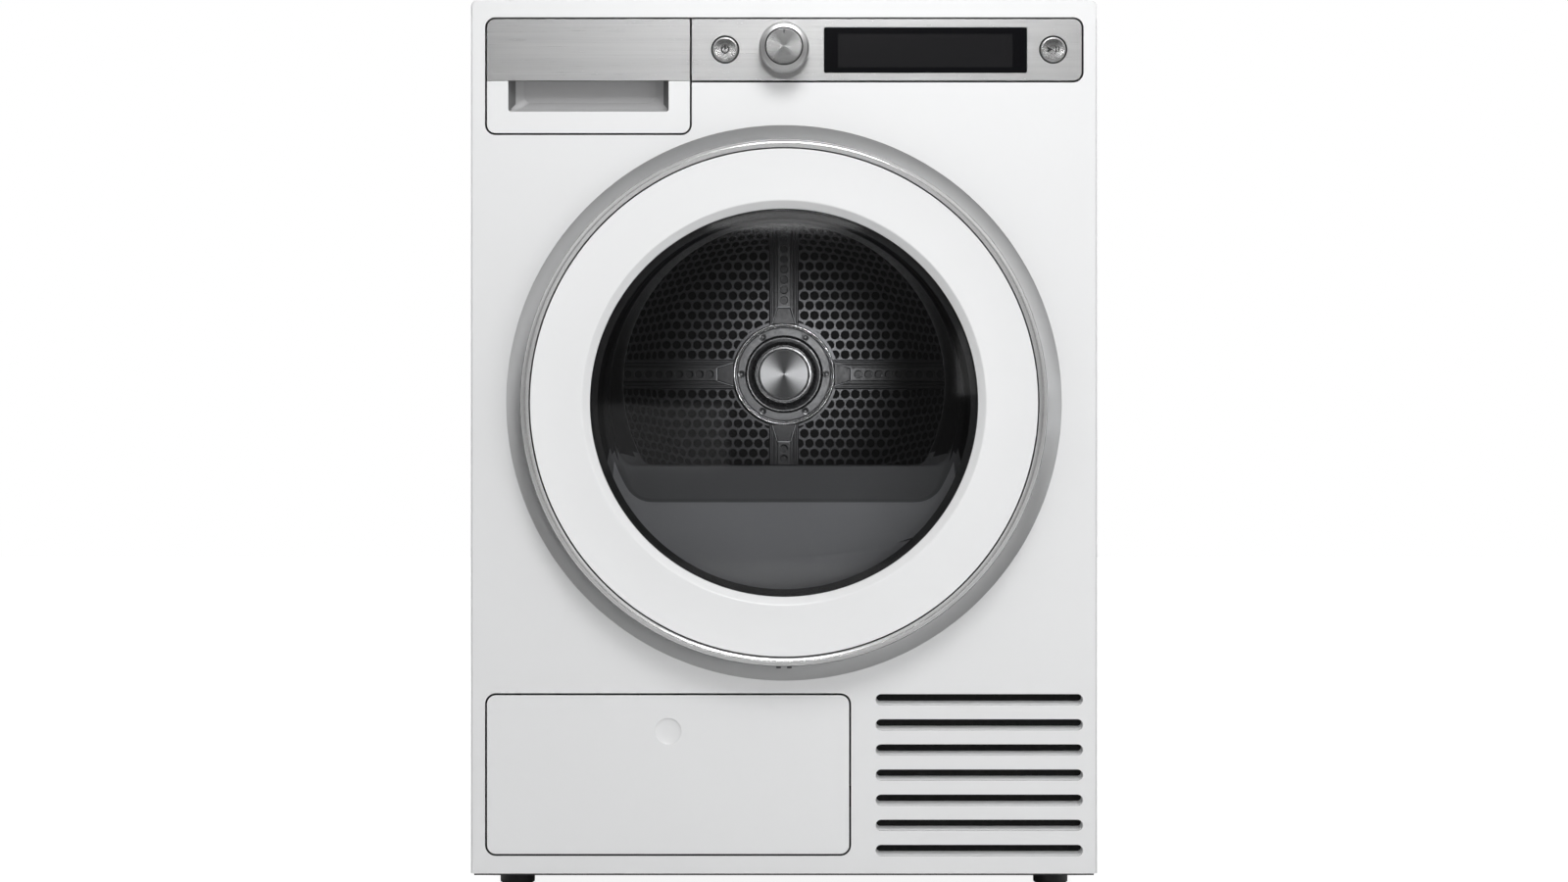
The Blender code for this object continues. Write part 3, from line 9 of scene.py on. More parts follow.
import bmesh
import bpy
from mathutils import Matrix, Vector


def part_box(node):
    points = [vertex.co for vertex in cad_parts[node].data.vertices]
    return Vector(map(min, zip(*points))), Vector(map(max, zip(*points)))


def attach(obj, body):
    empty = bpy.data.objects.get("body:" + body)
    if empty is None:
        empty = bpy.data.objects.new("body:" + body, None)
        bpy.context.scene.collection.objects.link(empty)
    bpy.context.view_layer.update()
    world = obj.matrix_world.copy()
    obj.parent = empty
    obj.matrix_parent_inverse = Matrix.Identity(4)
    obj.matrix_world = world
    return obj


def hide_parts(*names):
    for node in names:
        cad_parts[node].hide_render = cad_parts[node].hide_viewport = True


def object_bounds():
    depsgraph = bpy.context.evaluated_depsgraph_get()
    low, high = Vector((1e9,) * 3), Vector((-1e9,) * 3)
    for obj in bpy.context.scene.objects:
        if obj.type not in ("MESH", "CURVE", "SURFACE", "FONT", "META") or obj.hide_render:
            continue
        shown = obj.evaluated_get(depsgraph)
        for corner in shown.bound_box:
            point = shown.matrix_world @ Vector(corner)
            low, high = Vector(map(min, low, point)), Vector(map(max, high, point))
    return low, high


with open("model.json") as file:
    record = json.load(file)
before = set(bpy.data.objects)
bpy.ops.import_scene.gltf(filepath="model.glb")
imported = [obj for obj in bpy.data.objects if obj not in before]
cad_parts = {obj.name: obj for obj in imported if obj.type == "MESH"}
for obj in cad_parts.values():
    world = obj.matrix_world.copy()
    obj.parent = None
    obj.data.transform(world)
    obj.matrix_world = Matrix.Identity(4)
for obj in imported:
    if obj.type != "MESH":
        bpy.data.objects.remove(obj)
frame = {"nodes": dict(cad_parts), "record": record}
CAD_LOW, CAD_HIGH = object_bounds()


# ---- places read from the frame ----
def span(node, axis):
    """The two ends of a CAD node along an axis."""
    low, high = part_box(node)
    return low["xyz".index(axis)], high["xyz".index(axis)]


def face_box(node):
    """((x0, x1), (z0, z1)) of a CAD node."""
    return span(node, "x"), span(node, "z")


def joint(name):
    """A joint as the record states it."""
    return next(j for j in frame["record"]["behaviour"]["joints"] if j["name"] == name)


FACE_Y = span("front_panel", "y")[0]
PANEL_X = span("front_panel", "x")
PANEL_Z = span("front_panel", "z")
DOOR_X = sum(span("door_trim", "x")) / 2
DOOR_Z = sum(span("door_trim", "z")) / 2
DOOR_R = (span("door_trim", "z")[1] - span("door_trim", "z")[0]) / 2
DRUM_Z = joint("drum_spin")["pos_m"][2]
CONTROL_Z = joint("knob_turn")["pos_m"][2]
GAP = 0.0003  # between pieces that touch
SEAM = 0.0018  # visible gap round each front piece
ROUND_R = 0.008  # corners of the controls and the drawer
RECESS_R = DOOR_R + 0.0146
RECESS_D = 0.014
TRIM_W = 0.0088  # the door's metal ring
SEAL_R = (0.206, 0.2095, 0.2125, 0.216)
GLASS_R = 0.1832
SLOT_H = 0.0106
SLOT_X = (span("vent_louvre", "x")[0] + 0.006, span("vent_louvre", "x")[1] - 0.001)
SLOT_COUNT = 7
FILTER_D = tuple(value - FACE_Y for value in span("lint_filter", "y"))
FILTER_HALF_W = span("lint_filter", "x")[1] + GAP
HUB_R = 0.0556
HOLE_R, HOLE_PITCH, HOLE_ROW = 0.0043, 0.0113, 0.0109  # holes punched in the drum's back
CAMERA_DISTANCE = 3.2
BODY_SHARE = 0.3996875  # of the picture's width
SHARP = 32.0  # degrees, beyond which an edge isn't smooth in shading


# ---- meshes ----
def from_mesh(name, shape, looks, angle=SHARP):
    """Turns a bmesh into an object, smooth but for edges sharper than the angle."""
    mesh = bpy.data.meshes.new(name)
    bmesh.ops.recalc_face_normals(shape, faces=shape.faces)
    shape.to_mesh(mesh)
    shape.free()
    mesh.shade_smooth()
    mesh.set_sharp_from_angle(angle=math.radians(angle))
    obj = bpy.data.objects.new(name, mesh)
    bpy.context.scene.collection.objects.link(obj)
    for look in looks if isinstance(looks, (list, tuple)) else [looks]:
        mesh.materials.append(look)
    return obj


def soften(points, radius=0.0008, steps=3, closed=True):
    """Rounds the corners of an outline."""
    count = len(points)
    out = []
    for index, point in enumerate(points):
        here = Vector(point[:2])
        if not closed and index in (0, count - 1):
            out.append(tuple(here))
            continue
        before, after = Vector(points[index - 1][:2]), Vector(points[(index + 1) % count][:2])
        own = point[2] if len(point) > 2 else radius
        back, on = before - here, after - here
        if own <= 0 or back.length < 1e-7 or on.length < 1e-7 or back.angle(on) > 3.05:
            out.append(tuple(here))
            continue
        reach_b, reach_a = min(own, back.length * 0.48), min(own, on.length * 0.48)
        start, end = here + back.normalized() * reach_b, here + on.normalized() * reach_a
        for step in range(steps + 1):
            t = step / steps
            out.append(tuple(start * (1 - t) ** 2 + here * 2 * t * (1 - t) + end * t * t))
    return out


def lathe(name, looks, x, z, outline, steps=192, radius=0.0006, corner=3, slots=None, angle=SHARP):
    """Turns an outline of (radius, d) points about the line along Y through (x, z)."""
    on_axis = outline[0][0] == 0
    if on_axis and outline[1][0] > 0.01:
        # A ring just inside the rim keeps the middle flat in shading.
        outline = [outline[0], (outline[1][0] - 0.0022, outline[0][1], 0)] + list(outline[1:])
    points = soften(outline, radius, corner, closed=not on_axis)
    shape = bmesh.new()
    rings = []
    for r, d in points:
        if r < 1e-7:
            rings.append([shape.verts.new((0, d, 0))])
            continue
        turns = (2 * math.pi * k / steps for k in range(steps))
        rings.append([shape.verts.new((r * math.cos(t), d, r * math.sin(t))) for t in turns])
    pairs = list(zip(rings, rings[1:])) + ([] if on_axis else [(rings[-1], rings[0])])
    for number, (one, two) in enumerate(pairs):
        for k in range(steps):
            n = (k + 1) % steps
            if len(one) == 1 and len(two) == 1:
                continue
            if len(one) == 1:
                face = shape.faces.new((one[0], two[k], two[n]))
            elif len(two) == 1:
                face = shape.faces.new((one[k], one[n], two[0]))
            else:
                face = shape.faces.new((one[k], one[n], two[n], two[k]))
            if slots:
                face.material_index = slots(points[number], points[(number + 1) % len(points)])
    obj = from_mesh(name, shape, looks, angle)
    obj.location = (x, FACE_Y, z)
    return obj


def from_level(level, outline):
    """An outline whose depths count from a level."""
    return [(r, level + d, rounding) for r, d, rounding in outline]


def circle(x, z, r, steps=192):
    """A circle as (x, z) points."""
    turns = (2 * math.pi * k / steps for k in range(steps))
    return [(x + r * math.cos(t), z + r * math.sin(t)) for t in turns]


def rounded(x0, x1, z0, z1, radii=0.0, steps=8):
    """A rectangle from its lower left corner, anticlockwise; radii is one value or four."""
    radii = radii if isinstance(radii, (list, tuple)) else [radii] * 4
    corners = ((x0, z0, 180, 1, 1), (x1, z0, 270, -1, 1), (x1, z1, 0, -1, -1), (x0, z1, 90, 1, -1))
    out = []
    for (cx, cz, start, sx, sz), r in zip(corners, radii):
        if r <= 0:
            out.append((cx, cz))
            continue
        for k in range(steps + 1):
            a = math.radians(start + 90 * k / steps)
            out.append((cx + sx * r + r * math.cos(a), cz + sz * r + r * math.sin(a)))
    return out


def thicken(shape, by):
    """Extrudes every face of a flat shape."""
    raised = bmesh.ops.extrude_face_region(shape, geom=shape.faces[:])
    top = [v for v in raised["geom"] if isinstance(v, bmesh.types.BMVert)]
    bmesh.ops.translate(shape, verts=top, vec=by)


def grown(xs, zs, by, radii=0.0):
    """A rounded rectangle larger than the box all round, or smaller where by is negative."""
    return rounded(xs[0] - by, xs[1] + by, zs[0] - by, zs[1] + by, radii)


def plate(name, looks, outer, holes, d0, d1, bevel=0.0004, segments=3):
    """A flat piece in the plane of the front, with holes and rounded edges.

    A second look goes on the walls of its holes.
    """
    shape = bmesh.new()
    for loop in [outer] + list(holes):
        verts = [shape.verts.new((x, FACE_Y + d0, z)) for x, z in loop]
        for one, two in zip(verts, verts[1:] + verts[:1]):
            shape.edges.new((one, two))
    bmesh.ops.triangle_fill(shape, use_beauty=True, edges=shape.edges[:], normal=(0, -1, 0))
    thicken(shape, (0, d1 - d0, 0))
    obj = from_mesh(name, shape, looks, 60.0)
    if isinstance(looks, list):
        xs, zs = [x for x, _ in outer], [z for _, z in outer]
        for face in obj.data.polygons:
            x, _, z = face.center
            inside = min(x - min(xs), max(xs) - x, z - min(zs), max(zs) - z) > 0.001
            face.material_index = int(abs(face.normal.y) < 0.5 and inside)
    round_edges(obj, bevel, segments)
    return obj


def paint_seam_shade(obj, look):
    """The outer walls of a front piece, coloured grey as painted shade so they read as the dark line of
    its seam.
    """
    obj.data.materials.append(look)
    last = len(obj.data.materials) - 1
    for face in obj.data.polygons:
        if abs(face.normal.y) < 0.5:
            face.material_index = last


def round_edges(obj, width, segments=3):
    """Adds a small rounding to sharp edges, and keeps flat faces flat in shading."""
    if width > 0:
        soft = obj.modifiers.new("Edge", "BEVEL")
        soft.width = width
        soft.segments = segments
        soft.limit_method = "ANGLE"
        soft.angle_limit = math.radians(40)
        soft.use_clamp_overlap = True
        soft.harden_normals = True
    return obj


def extrude_x(name, looks, outline, x0, x1, bevel=0.0005):
    """Extrudes an outline of (d, z) points along X."""
    shape = bmesh.new()
    shape.faces.new([shape.verts.new((x0, FACE_Y + d, z)) for d, z in outline])
    thicken(shape, (x1 - x0, 0, 0))
    return round_edges(from_mesh(name, shape, looks, 60.0), bevel)


def box(name, looks, xs, ds, zs, bevel=0.0006):
    """A block with softened edges."""
    return extrude_x(name, looks, rounded(*ds, *zs), *xs, bevel)


def loft(name, looks, sections, closed=False, angle=35.0):
    """Joins rings of equal length; each is a list of (x, d, z)."""
    shape = bmesh.new()
    rings = [[shape.verts.new((x, FACE_Y + d, z)) for x, d, z in ring] for ring in sections]
    pairs = list(zip(rings, rings[1:])) + ([(rings[-1], rings[0])] if closed else [])
    for one, two in pairs:
        count = len(one)
        for k in range(count):
            n = (k + 1) % count
            shape.faces.new((one[k], one[n], two[n], two[k]))
    return from_mesh(name, shape, looks, angle)


def join(first, *others):
    """Puts several objects' evaluated meshes into the first one's, keeping materials."""
    bpy.context.view_layer.update()
    graph = bpy.context.evaluated_depsgraph_get()
    shape = bmesh.new()
    looks = []
    for obj in (first, *others):
        mesh = bpy.data.meshes.new_from_object(obj.evaluated_get(graph))
        mesh.transform(first.matrix_world.inverted() @ obj.matrix_world)
        places = []
        for look in mesh.materials:
            if look not in looks:
                looks.append(look)
            places.append(looks.index(look))
        for face in mesh.polygons:
            face.material_index = places[face.material_index]
        shape.from_mesh(mesh)
        bpy.data.meshes.remove(mesh)
    mesh = bpy.data.meshes.new(first.name)
    shape.to_mesh(mesh)
    shape.free()
    for look in looks:
        mesh.materials.append(look)
    first.modifiers.clear()
    first.data = mesh
    for obj in others:
        bpy.data.objects.remove(obj)
    return first


# ---- materials ----
class Nodes:
    """A short way to write the node tree of a new material, or of the world."""

    def __init__(self, name, world=None):
        self.material = world or bpy.data.materials.new(name)
        self.material.use_nodes = True
        self.tree = self.material.node_tree
        self.shader = self.tree.nodes.get("Principled BSDF")
        self.place = self.node("ShaderNodeTexCoord", out="Generated" if world else "Object")

    def set(self, **values):
        for key, value in values.items():
            socket = self.shader.inputs[key.replace("_", " ")]
            if hasattr(value, "links"):
                self.tree.links.new(value, socket)
            else:
                socket.default_value = value
        return self

    def node(self, kind, out=0, props=None, **inputs):
        made = self.tree.nodes.new(kind)
        for key, value in (props or {}).items():
            setattr(made, key, value)
        for key, value in inputs.items():
            key = int(key[1:]) if key[0] == "i" and key[1:].isdigit() else key.replace("_", " ")
            if hasattr(value, "links"):
                self.tree.links.new(value, made.inputs[key])
            else:
                made.inputs[key].default_value = value
        return made.outputs[out]

    def math(self, operation, a, b=0.0, c=0.0):
        return self.node("ShaderNodeMath", props={"operation": operation}, i0=a, i1=b, i2=c)

    def ramp(self, value, low, high, to_low, to_high, kind="LINEAR"):
        return self.node("ShaderNodeMapRange", props={"interpolation_type": kind}, Value=value,
                         From_Min=low, From_Max=high, To_Min=to_low, To_Max=to_high)

    def noise(self, scale, detail=3.0, stretch=(1, 1, 1), rough=0.5):
        place = self.node("ShaderNodeMapping", Vector=self.place, Scale=stretch)
        return self.node("ShaderNodeTexNoise", Vector=place, Scale=scale, Detail=detail,
                         Roughness=rough)

    def bump(self, height, strength, distance=0.0002):
        return self.set(Normal=self.node("ShaderNodeBump", Height=height, Strength=strength,
                                         Distance=distance))

    def blend(self, value, low, high):
        return self.node("ShaderNodeMix", out=2, props={"data_type": "RGBA"}, i0=value, i6=low, i7=high)

    def tint(self, value, colour, amount):
        """The colour made a little darker and lighter as value goes from 0 to 1."""
        dark = [channel * (1 - amount) for channel in colour] + [1]
        light = [min(1, channel * (1 + amount)) for channel in colour] + [1]
        return self.blend(value, dark, light)

    def axes(self):
        """x, y and z."""
        return self.node("ShaderNodeSeparateXYZ", Vector=self.place).node.outputs

    def from_axis(self):
        """x, z and the distance from the Y axis."""
        x, _, z = self.axes()
        squares = self.math("ADD", self.math("MULTIPLY", x, x), self.math("MULTIPLY", z, z))
        return x, z, self.math("SQRT", squares)


def grey(level):
    """A colour without any tint."""
    return (level, level, level)


def enamel(name, colour, rough=0.34, coat=0.25):
    """Baked enamel or glossy moulding: faint orange peel and a trace of uneven gloss."""
    n = Nodes(name)
    cloud = n.noise(9, 4)
    n.set(Base_Color=n.tint(cloud, colour, 0.012), Coat_Weight=coat, Coat_Roughness=0.2)
    n.set(Roughness=n.ramp(n.noise(60, 4), 0.3, 0.7, rough - 0.01, rough + 0.02))
    return n.bump(n.noise(1500, 2), 0.025, 0.0001).material


def moulded(name, colour, rough=0.5, grain=0.25, scale=2600, uneven=0.06):
    """Moulded plastic with a fine eroded texture."""
    n = Nodes(name)
    n.set(Base_Color=n.tint(n.noise(14, 5), colour, 0.06))
    n.set(Roughness=n.ramp(n.noise(240, 5), 0.3, 0.7, rough - uneven, rough + uneven))
    return n.bump(n.noise(scale, 3), grain, 0.0001).material


def brushed(name, colour, rough=0.34, along=(1.5, 120, 260), strength=0.12, spread=0.14):
    """Metal with long fine scratches along the first axis."""
    n = Nodes(name)
    fine = n.noise(9, 6, along, 0.65)
    broad = n.noise(3, 4, tuple(a * 0.25 for a in along), 0.6)
    both = n.math("MULTIPLY_ADD", broad, 0.5, n.math("MULTIPLY", fine, 0.5))
    n.set(Base_Color=n.tint(n.ramp(both, 0.3, 0.7, 0, 1), colour, spread), Metallic=1.0)
    n.set(Roughness=n.ramp(fine, 0.3, 0.7, rough - 0.07, rough + 0.09))
    return n.bump(fine, strength, 0.0001).material


def polished(name, colour, rough=0.22, metallic=1.0):
    """Satin-polished metal, nearly even, with a trace of wiping marks."""
    n = Nodes(name)
    marks = n.noise(7, 4, (1, 1, 6))
    n.set(Base_Color=n.tint(marks, colour, 0.02), Metallic=metallic)
    n.set(Roughness=n.ramp(marks, 0.3, 0.7, rough - 0.02, rough + 0.02))
    return n.bump(n.noise(900, 2), 0.01, 0.00005).material


def turned(name, colour, rough=0.3, lobes=0.5, anisotropy=0.75, metallic=1.0, dark=0.3,
           cross=0.45, specular=0.5):
    """Metal turned on a lathe: concentric scratches, and painted highlights in the base colour: bright
    to each side of the centre, fainter above and below, darker between.
    """
    n = Nodes(name)
    x, z, r = n.from_axis()
    vector = n.node("ShaderNodeCombineXYZ", X=n.math("MULTIPLY", r, 5200))
    rings = n.node("ShaderNodeTexNoise", Vector=vector, Scale=1.0, Detail=3.0)
    # Painted highlight and shade: with the angle round the centre, the base colour goes from dark times
    # the colour up to the full colour.
    turn = n.math("ARCTAN2", z, x)
    painted_side_highlight = n.math("POWER", n.math("ABSOLUTE", n.math("COSINE", turn)), 3.0)
    painted_upright_highlight = n.math("POWER", n.math("ABSOLUTE", n.math("SINE", turn)), 10.0)
    light = n.math("ADD", painted_side_highlight, n.math("MULTIPLY", painted_upright_highlight, cross))
    shade = n.math("MULTIPLY_ADD", rings, 0.16, n.math("MULTIPLY", light, lobes))
    base = n.ramp(shade, 0.05, 0.05 + lobes, 0.0, 1.0)
    n.set(Base_Color=n.blend(base, [c * dark for c in colour] + [1], [*colour, 1]))
    n.set(Metallic=metallic, Anisotropic=anisotropy, Specular_IOR_Level=specular)
    n.set(Roughness=n.ramp(rings, 0.3, 0.7, rough - 0.05, rough + 0.07))
    return n.bump(rings, 0.08, 0.00005).material


def glass(name, tint):
    """Flat window glass: clear with a tint, and a mirror-like face."""
    n = Nodes(name)
    clear = n.node("ShaderNodeBsdfTransparent", Color=(*tint, 1))
    smear = n.ramp(n.noise(3, 1), 0.3, 0.7, 0.025, 0.035)
    gloss = n.node("ShaderNodeBsdfGlossy", Roughness=smear)
    edge = n.node("ShaderNodeFresnel", IOR=1.45)
    mix = n.node("ShaderNodeMixShader", i0=edge, i1=clear, i2=gloss)
    n.tree.links.new(mix, n.tree.nodes["Material Output"].inputs[0])
    return n.material


def perforated(name, colour, pitch, row, hole, flat_r, inner_r, outer_r, stretch=1.7):
    """Punched sheet metal: staggered rows of holes, drawn out where the sheet is dished; the holes are
    not cut but painted near black, a painted shade for the dark seen through them.
    """
    n = Nodes(name)
    x, z, r = n.from_axis()
    beyond = n.math("MAXIMUM", n.math("SUBTRACT", r, flat_r), 0.0)
    grow = n.math("DIVIDE", n.math("MULTIPLY_ADD", beyond, stretch - 1.0, r), r)
    u = n.math("DIVIDE", n.math("MULTIPLY", x, grow), pitch)
    v = n.math("DIVIDE", n.math("MULTIPLY", z, grow), row * 2)

    def cell(shift):
        a = n.math("SUBTRACT", n.math("FRACT", n.math("ADD", u, shift)), 0.5)
        b = n.math("SUBTRACT", n.math("FRACT", n.math("ADD", v, shift)), 0.5)
        b = n.math("MULTIPLY", b, row * 2 / pitch)
        return n.math("ADD", n.math("MULTIPLY", a, a), n.math("MULTIPLY", b, b))

    near = n.math("MULTIPLY", n.math("SQRT", n.math("MINIMUM", cell(0.0), cell(0.5))), pitch)
    inside = n.math("MULTIPLY", n.math("GREATER_THAN", r, inner_r), n.math("LESS_THAN", r, outer_r))
    outside = n.math("SUBTRACT", 1.0, inside)
    sheet_not_painted_hole = n.math("MAXIMUM", n.ramp(near, hole - 0.0002, hole + 0.0002, 0.0, 1.0), outside)
    rim = n.math("MAXIMUM", n.ramp(near, hole - 0.0005, hole + 0.0007, 0.0, 1.0), outside)
    grain = n.noise(420, 4)
    sheet = n.tint(grain, colour, 0.15)
    # Painted shade: where there are holes the sheet is coloured near black for the dark behind it.
    n.set(Base_Color=n.blend(sheet_not_painted_hole, (0.001, 0.001, 0.001, 1), sheet))
    n.set(Metallic=n.math("MULTIPLY", sheet_not_painted_hole, 0.65))
    n.set(Roughness=n.ramp(sheet_not_painted_hole, 0.0, 1.0, 0.9, 0.36))
    return n.bump(rim, 1.0, 0.0012).material


WHITE = enamel("white_enamel", (0.83, 0.835, 0.84))
WHITE_PLASTIC = enamel("white_plastic", (0.84, 0.845, 0.85), 0.30, 0.35)
SIDE_WHITE = enamel("side_enamel", (0.80, 0.805, 0.81), 0.40, 0.15)
STEEL = brushed("brushed_fascia", grey(0.68), 0.33, spread=0.10)
SATIN = polished("satin_ring", grey(0.72), 0.22, 0.8)
RING_SIDE_SHADE = polished("ring_side_painted_shade", grey(0.12), 0.35)
KNOB_SIDE = polished("knob_side", grey(0.62), 0.34)
# The knob and button faces carry painted highlights in their base colour besides their own gloss.
KNOB_FACE = turned("knob_face", grey(0.80), 0.26, dark=0.30, cross=0.25)
BUTTON_FACE = turned("button_face", grey(0.86), 0.26, dark=0.35, cross=0.25)
# The hub disc is matt: its bright patches left and right are painted highlights in the base colour.
HUB_FACE = turned("hub_face", grey(0.95), 0.45, metallic=0.0, dark=0.02, cross=0.0,
                  specular=0.08)
GLOSS_BLACK = moulded("gloss_black", (0.004, 0.004, 0.005), 0.05, 0.0, uneven=0.005)
SCREEN = moulded("screen", (0.013, 0.013, 0.014), 0.06, 0.0, uneven=0.005)
INK = moulded("ink", grey(0.02), 0.6, 0.1)
SHADOW = moulded("slot_painted_shade", grey(0.002), 0.8, 0.1)
BLACK = moulded("black_plastic", (0.010, 0.010, 0.011), 0.42, 0.05)
GLOSSY_DARK = moulded("glossy_dark", (0.016, 0.016, 0.017), 0.26, 0.05)
SEAM_SHADE = moulded("painted_seam_shade", grey(0.10), 0.6, 0.05)
DARK = moulded("dark_plastic", (0.050, 0.050, 0.052), 0.48, 0.1)
SLOPE_PAINTED_LIGHT = moulded("filter_cover_painted_light", (0.54, 0.54, 0.545), 0.5, 0.03)
GREY = moulded("grey_plastic", (0.40, 0.405, 0.41), 0.5, 0.25)
POCKET = moulded("grip_grey", (0.46, 0.46, 0.465), 0.36, 0.05)
POCKET_SIDE_SHADE = moulded("grip_side_painted_shade", (0.16, 0.16, 0.162), 0.36, 0.05)
FUNNEL = moulded("funnel", (0.010, 0.010, 0.011), 0.34, 0.03)
LEDGE_PAINTED_LIGHT = moulded("ledge_painted_light", (0.19, 0.19, 0.192), 0.45, 0.02)
HUB_RING = moulded("hub_ring", (0.11, 0.11, 0.112), 0.4, 0.05)
RIB = moulded("rib_plastic", (0.045, 0.045, 0.046), 0.34, 0.03)
RUBBER = moulded("rubber", grey(0.018), 0.75, 0.4, 1500)
ZINC = brushed("zinc_sheet", (0.60, 0.61, 0.62), 0.42, (20, 20, 26), 0.05, 0.10)
ALUMINIUM = brushed("cast_aluminium", (0.66, 0.67, 0.68), 0.45, (60, 60, 60), 0.25, 0.08)
DRUM_STEEL = brushed("drum_steel", grey(0.55), 0.30, (90, 4, 90), 0.10, 0.10)
SMOKED = glass("smoked_glass", (0.92, 0.92, 0.925))
CLEAR = glass("clear_glass", (0.97, 0.975, 0.98))


def dress(node, look):
    """Gives a carried-over CAD node a procedural material."""
    obj = frame["nodes"][node]
    for place in obj.material_slots:
        place.material = look
    if not obj.material_slots:
        obj.data.materials.append(look)
    return obj


def put(obj, body, *nodes):
    """The piece rides on a body and stands for CAD nodes."""
    even = obj.modifiers.new("Even normals", "WEIGHTED_NORMAL")
    even.keep_sharp = True
    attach(obj, body)
    if nodes:
        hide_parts(*nodes)
    return obj


# ---- front panel ----
def front_panel():
    """The pressed sheet with its openings, and the dish round the door."""
    drawer_x, drawer_z = face_box("container_front")
    fascia_x, fascia_z = face_box("control_fascia")
    flap_x, flap_z = face_box("service_flap")
    r = ROUND_R + SEAM
    band = grown((drawer_x[0], fascia_x[1]), (drawer_z[0], fascia_z[1]), SEAM, r)
    # The opening is an L: the drawer reaches lower than the fascia.
    lower_right = rounded(drawer_x[0] - SEAM, drawer_x[1] + SEAM, drawer_z[0] - SEAM, 1.0, r)[9:18]
    corner = rounded(drawer_x[1] + SEAM, fascia_x[1] + SEAM, fascia_z[0] - SEAM, 1.0,
                     [0, r, 0, 0])
    opening = band[:9] + lower_right + corner[:10] + band[18:]
    outline = rounded(*PANEL_X, *PANEL_Z, [0.0, 0.0, 0.0055, 0.0055])
    holes = [
        opening,
        grown(flap_x, flap_z, SEAM, 0.0103),
        circle(DOOR_X, DOOR_Z, RECESS_R, 256),
    ]
    for z in slot_places():
        holes.append(rounded(*SLOT_X, z - SLOT_H / 2, z + SLOT_H / 2, SLOT_H / 2 - 1e-5, 10))
    # Painted shade: the walls of the sheet's openings are black for the dark seams and slots.
    sheet = plate("front_skin", [WHITE, BLACK], outline, holes, 0.0, 0.0020, 0.0004)
    back = RECESS_D + 0.0015
    dish = lathe("recess", WHITE, DOOR_X, DOOR_Z, [
        (RECESS_R + 0.0006, 0.0003, 0), (RECESS_R - 0.0036, 0.0058, 0.004),
        (RECESS_R - 0.0076, 0.0098, 0.003), (RECESS_R - 0.0120, RECESS_D - 0.0010, 0.003),
        (RECESS_R - 0.0160, RECESS_D, 0.003), (0.203, RECESS_D, 0.0005), (0.203, back, 0.0005),
        (RECESS_R - 0.0157, back, 0.001), (RECESS_R - 0.0065, 0.0110, 0.001),
        (RECESS_R + 0.0012, 0.0017, 0)], 256, corner=5)
    return put(join(sheet, dish), "cabinet", "front_panel")


def slot_places():
    """Heights of the slots' middles, from the top."""
    high = span("vent_louvre", "z")[1] - 0.004 - 0.0047 - SLOT_H / 2
    low = span("vent_louvre", "z")[0] + 0.004 + SLOT_H / 2
    return [high + (low - high) * n / (SLOT_COUNT - 1) for n in range(SLOT_COUNT)]


def louvre():
    """Seven hooded slots: a white lip rises inwards from each lower edge, and a near-black sheet behind
    them is painted shade for the dark inside.
    """
    pieces = []
    for number, z in enumerate(slot_places()):
        rings = []
        for d, grow, rise in ((0.0018, 0.0004, 0.0), (0.0045, 0.0, 0.0010), (0.0110, -0.0008, 0.0027),
                              (0.0112, 0.0006, 0.0019), (0.0045, 0.0014, 0.0),
                              (0.0021, 0.0016, -0.0008)):
            low, high = z - SLOT_H / 2 - grow + rise, z + SLOT_H / 2 + grow + rise * 0.55
            ring = rounded(SLOT_X[0] - grow, SLOT_X[1] + grow, low, high,
                           SLOT_H / 2 + grow - rise * 0.25 - 1e-4, 8)
            rings.append([(x, d, h) for x, h in ring])
        pieces.append(loft(f"lip_{number}", WHITE_PLASTIC, rings, closed=True))
    # Painted shade: a near-black sheet behind the slots stands for the dark inside the cabinet.
    back = box("louvre_painted_shade", SHADOW, (SLOT_X[0] - 0.004, SLOT_X[1] + 0.0005), (0.0114, 0.0120),
               (slot_places()[-1] - 0.009, slot_places()[0] + 0.012), 0)
    return put(join(*pieces, back), "cabinet", "vent_louvre")


# ---- controls ----
def fascia():
    """The brushed controls panel with its openings, and the display."""
    (x0, x1), (z0, z1) = face_box("control_fascia")
    knob_x = joint("knob_turn")["pos_m"][0]
    power, start = (sum(span(name, "x")) / 2 for name in ("power_button", "start_button"))
    (sx0, sx1), (sz0, sz1) = face_box("display_glass")
    holes = [circle(power, CONTROL_Z, 0.0134, 96), circle(start, CONTROL_Z, 0.0134, 96),
             circle(knob_x, CONTROL_Z, 0.0036, 48),
             grown((sx0, sx1), (sz0, sz1), GAP, 0.0018)]
    face = plate("fascia", STEEL, rounded(x0, x1, z0, z1, [0, ROUND_R, ROUND_R, 0]), holes, 0.0,
                 0.0025, 0.00035)
    inner = grown((x0, x1), (z0, z1), -0.002, [0, 0.006, 0.006, 0])
    shell = grown((x0, x1), (z0, z1), -1e-4, [0, ROUND_R, ROUND_R, 0])
    rim = plate("fascia_rim", DARK, shell, [inner], 0.0026, 0.030, 0)
    put(join(face, rim), "cabinet", "control_fascia")
    glass_plate = plate("display", GLOSS_BLACK, rounded(sx0, sx1, sz0, sz1, 0.0015), [], 0.0001,
                        0.003, 0.0003)
    area = plate("display_area", SCREEN, rounded(sx0 + 0.0131, sx1 - 0.0135, sz0 + 0.0052,
                                                 sz1 - 0.0062, 0.0003), [], 0.00003, 0.0002, 0)
    put(join(glass_plate, area), "cabinet", "display_glass")


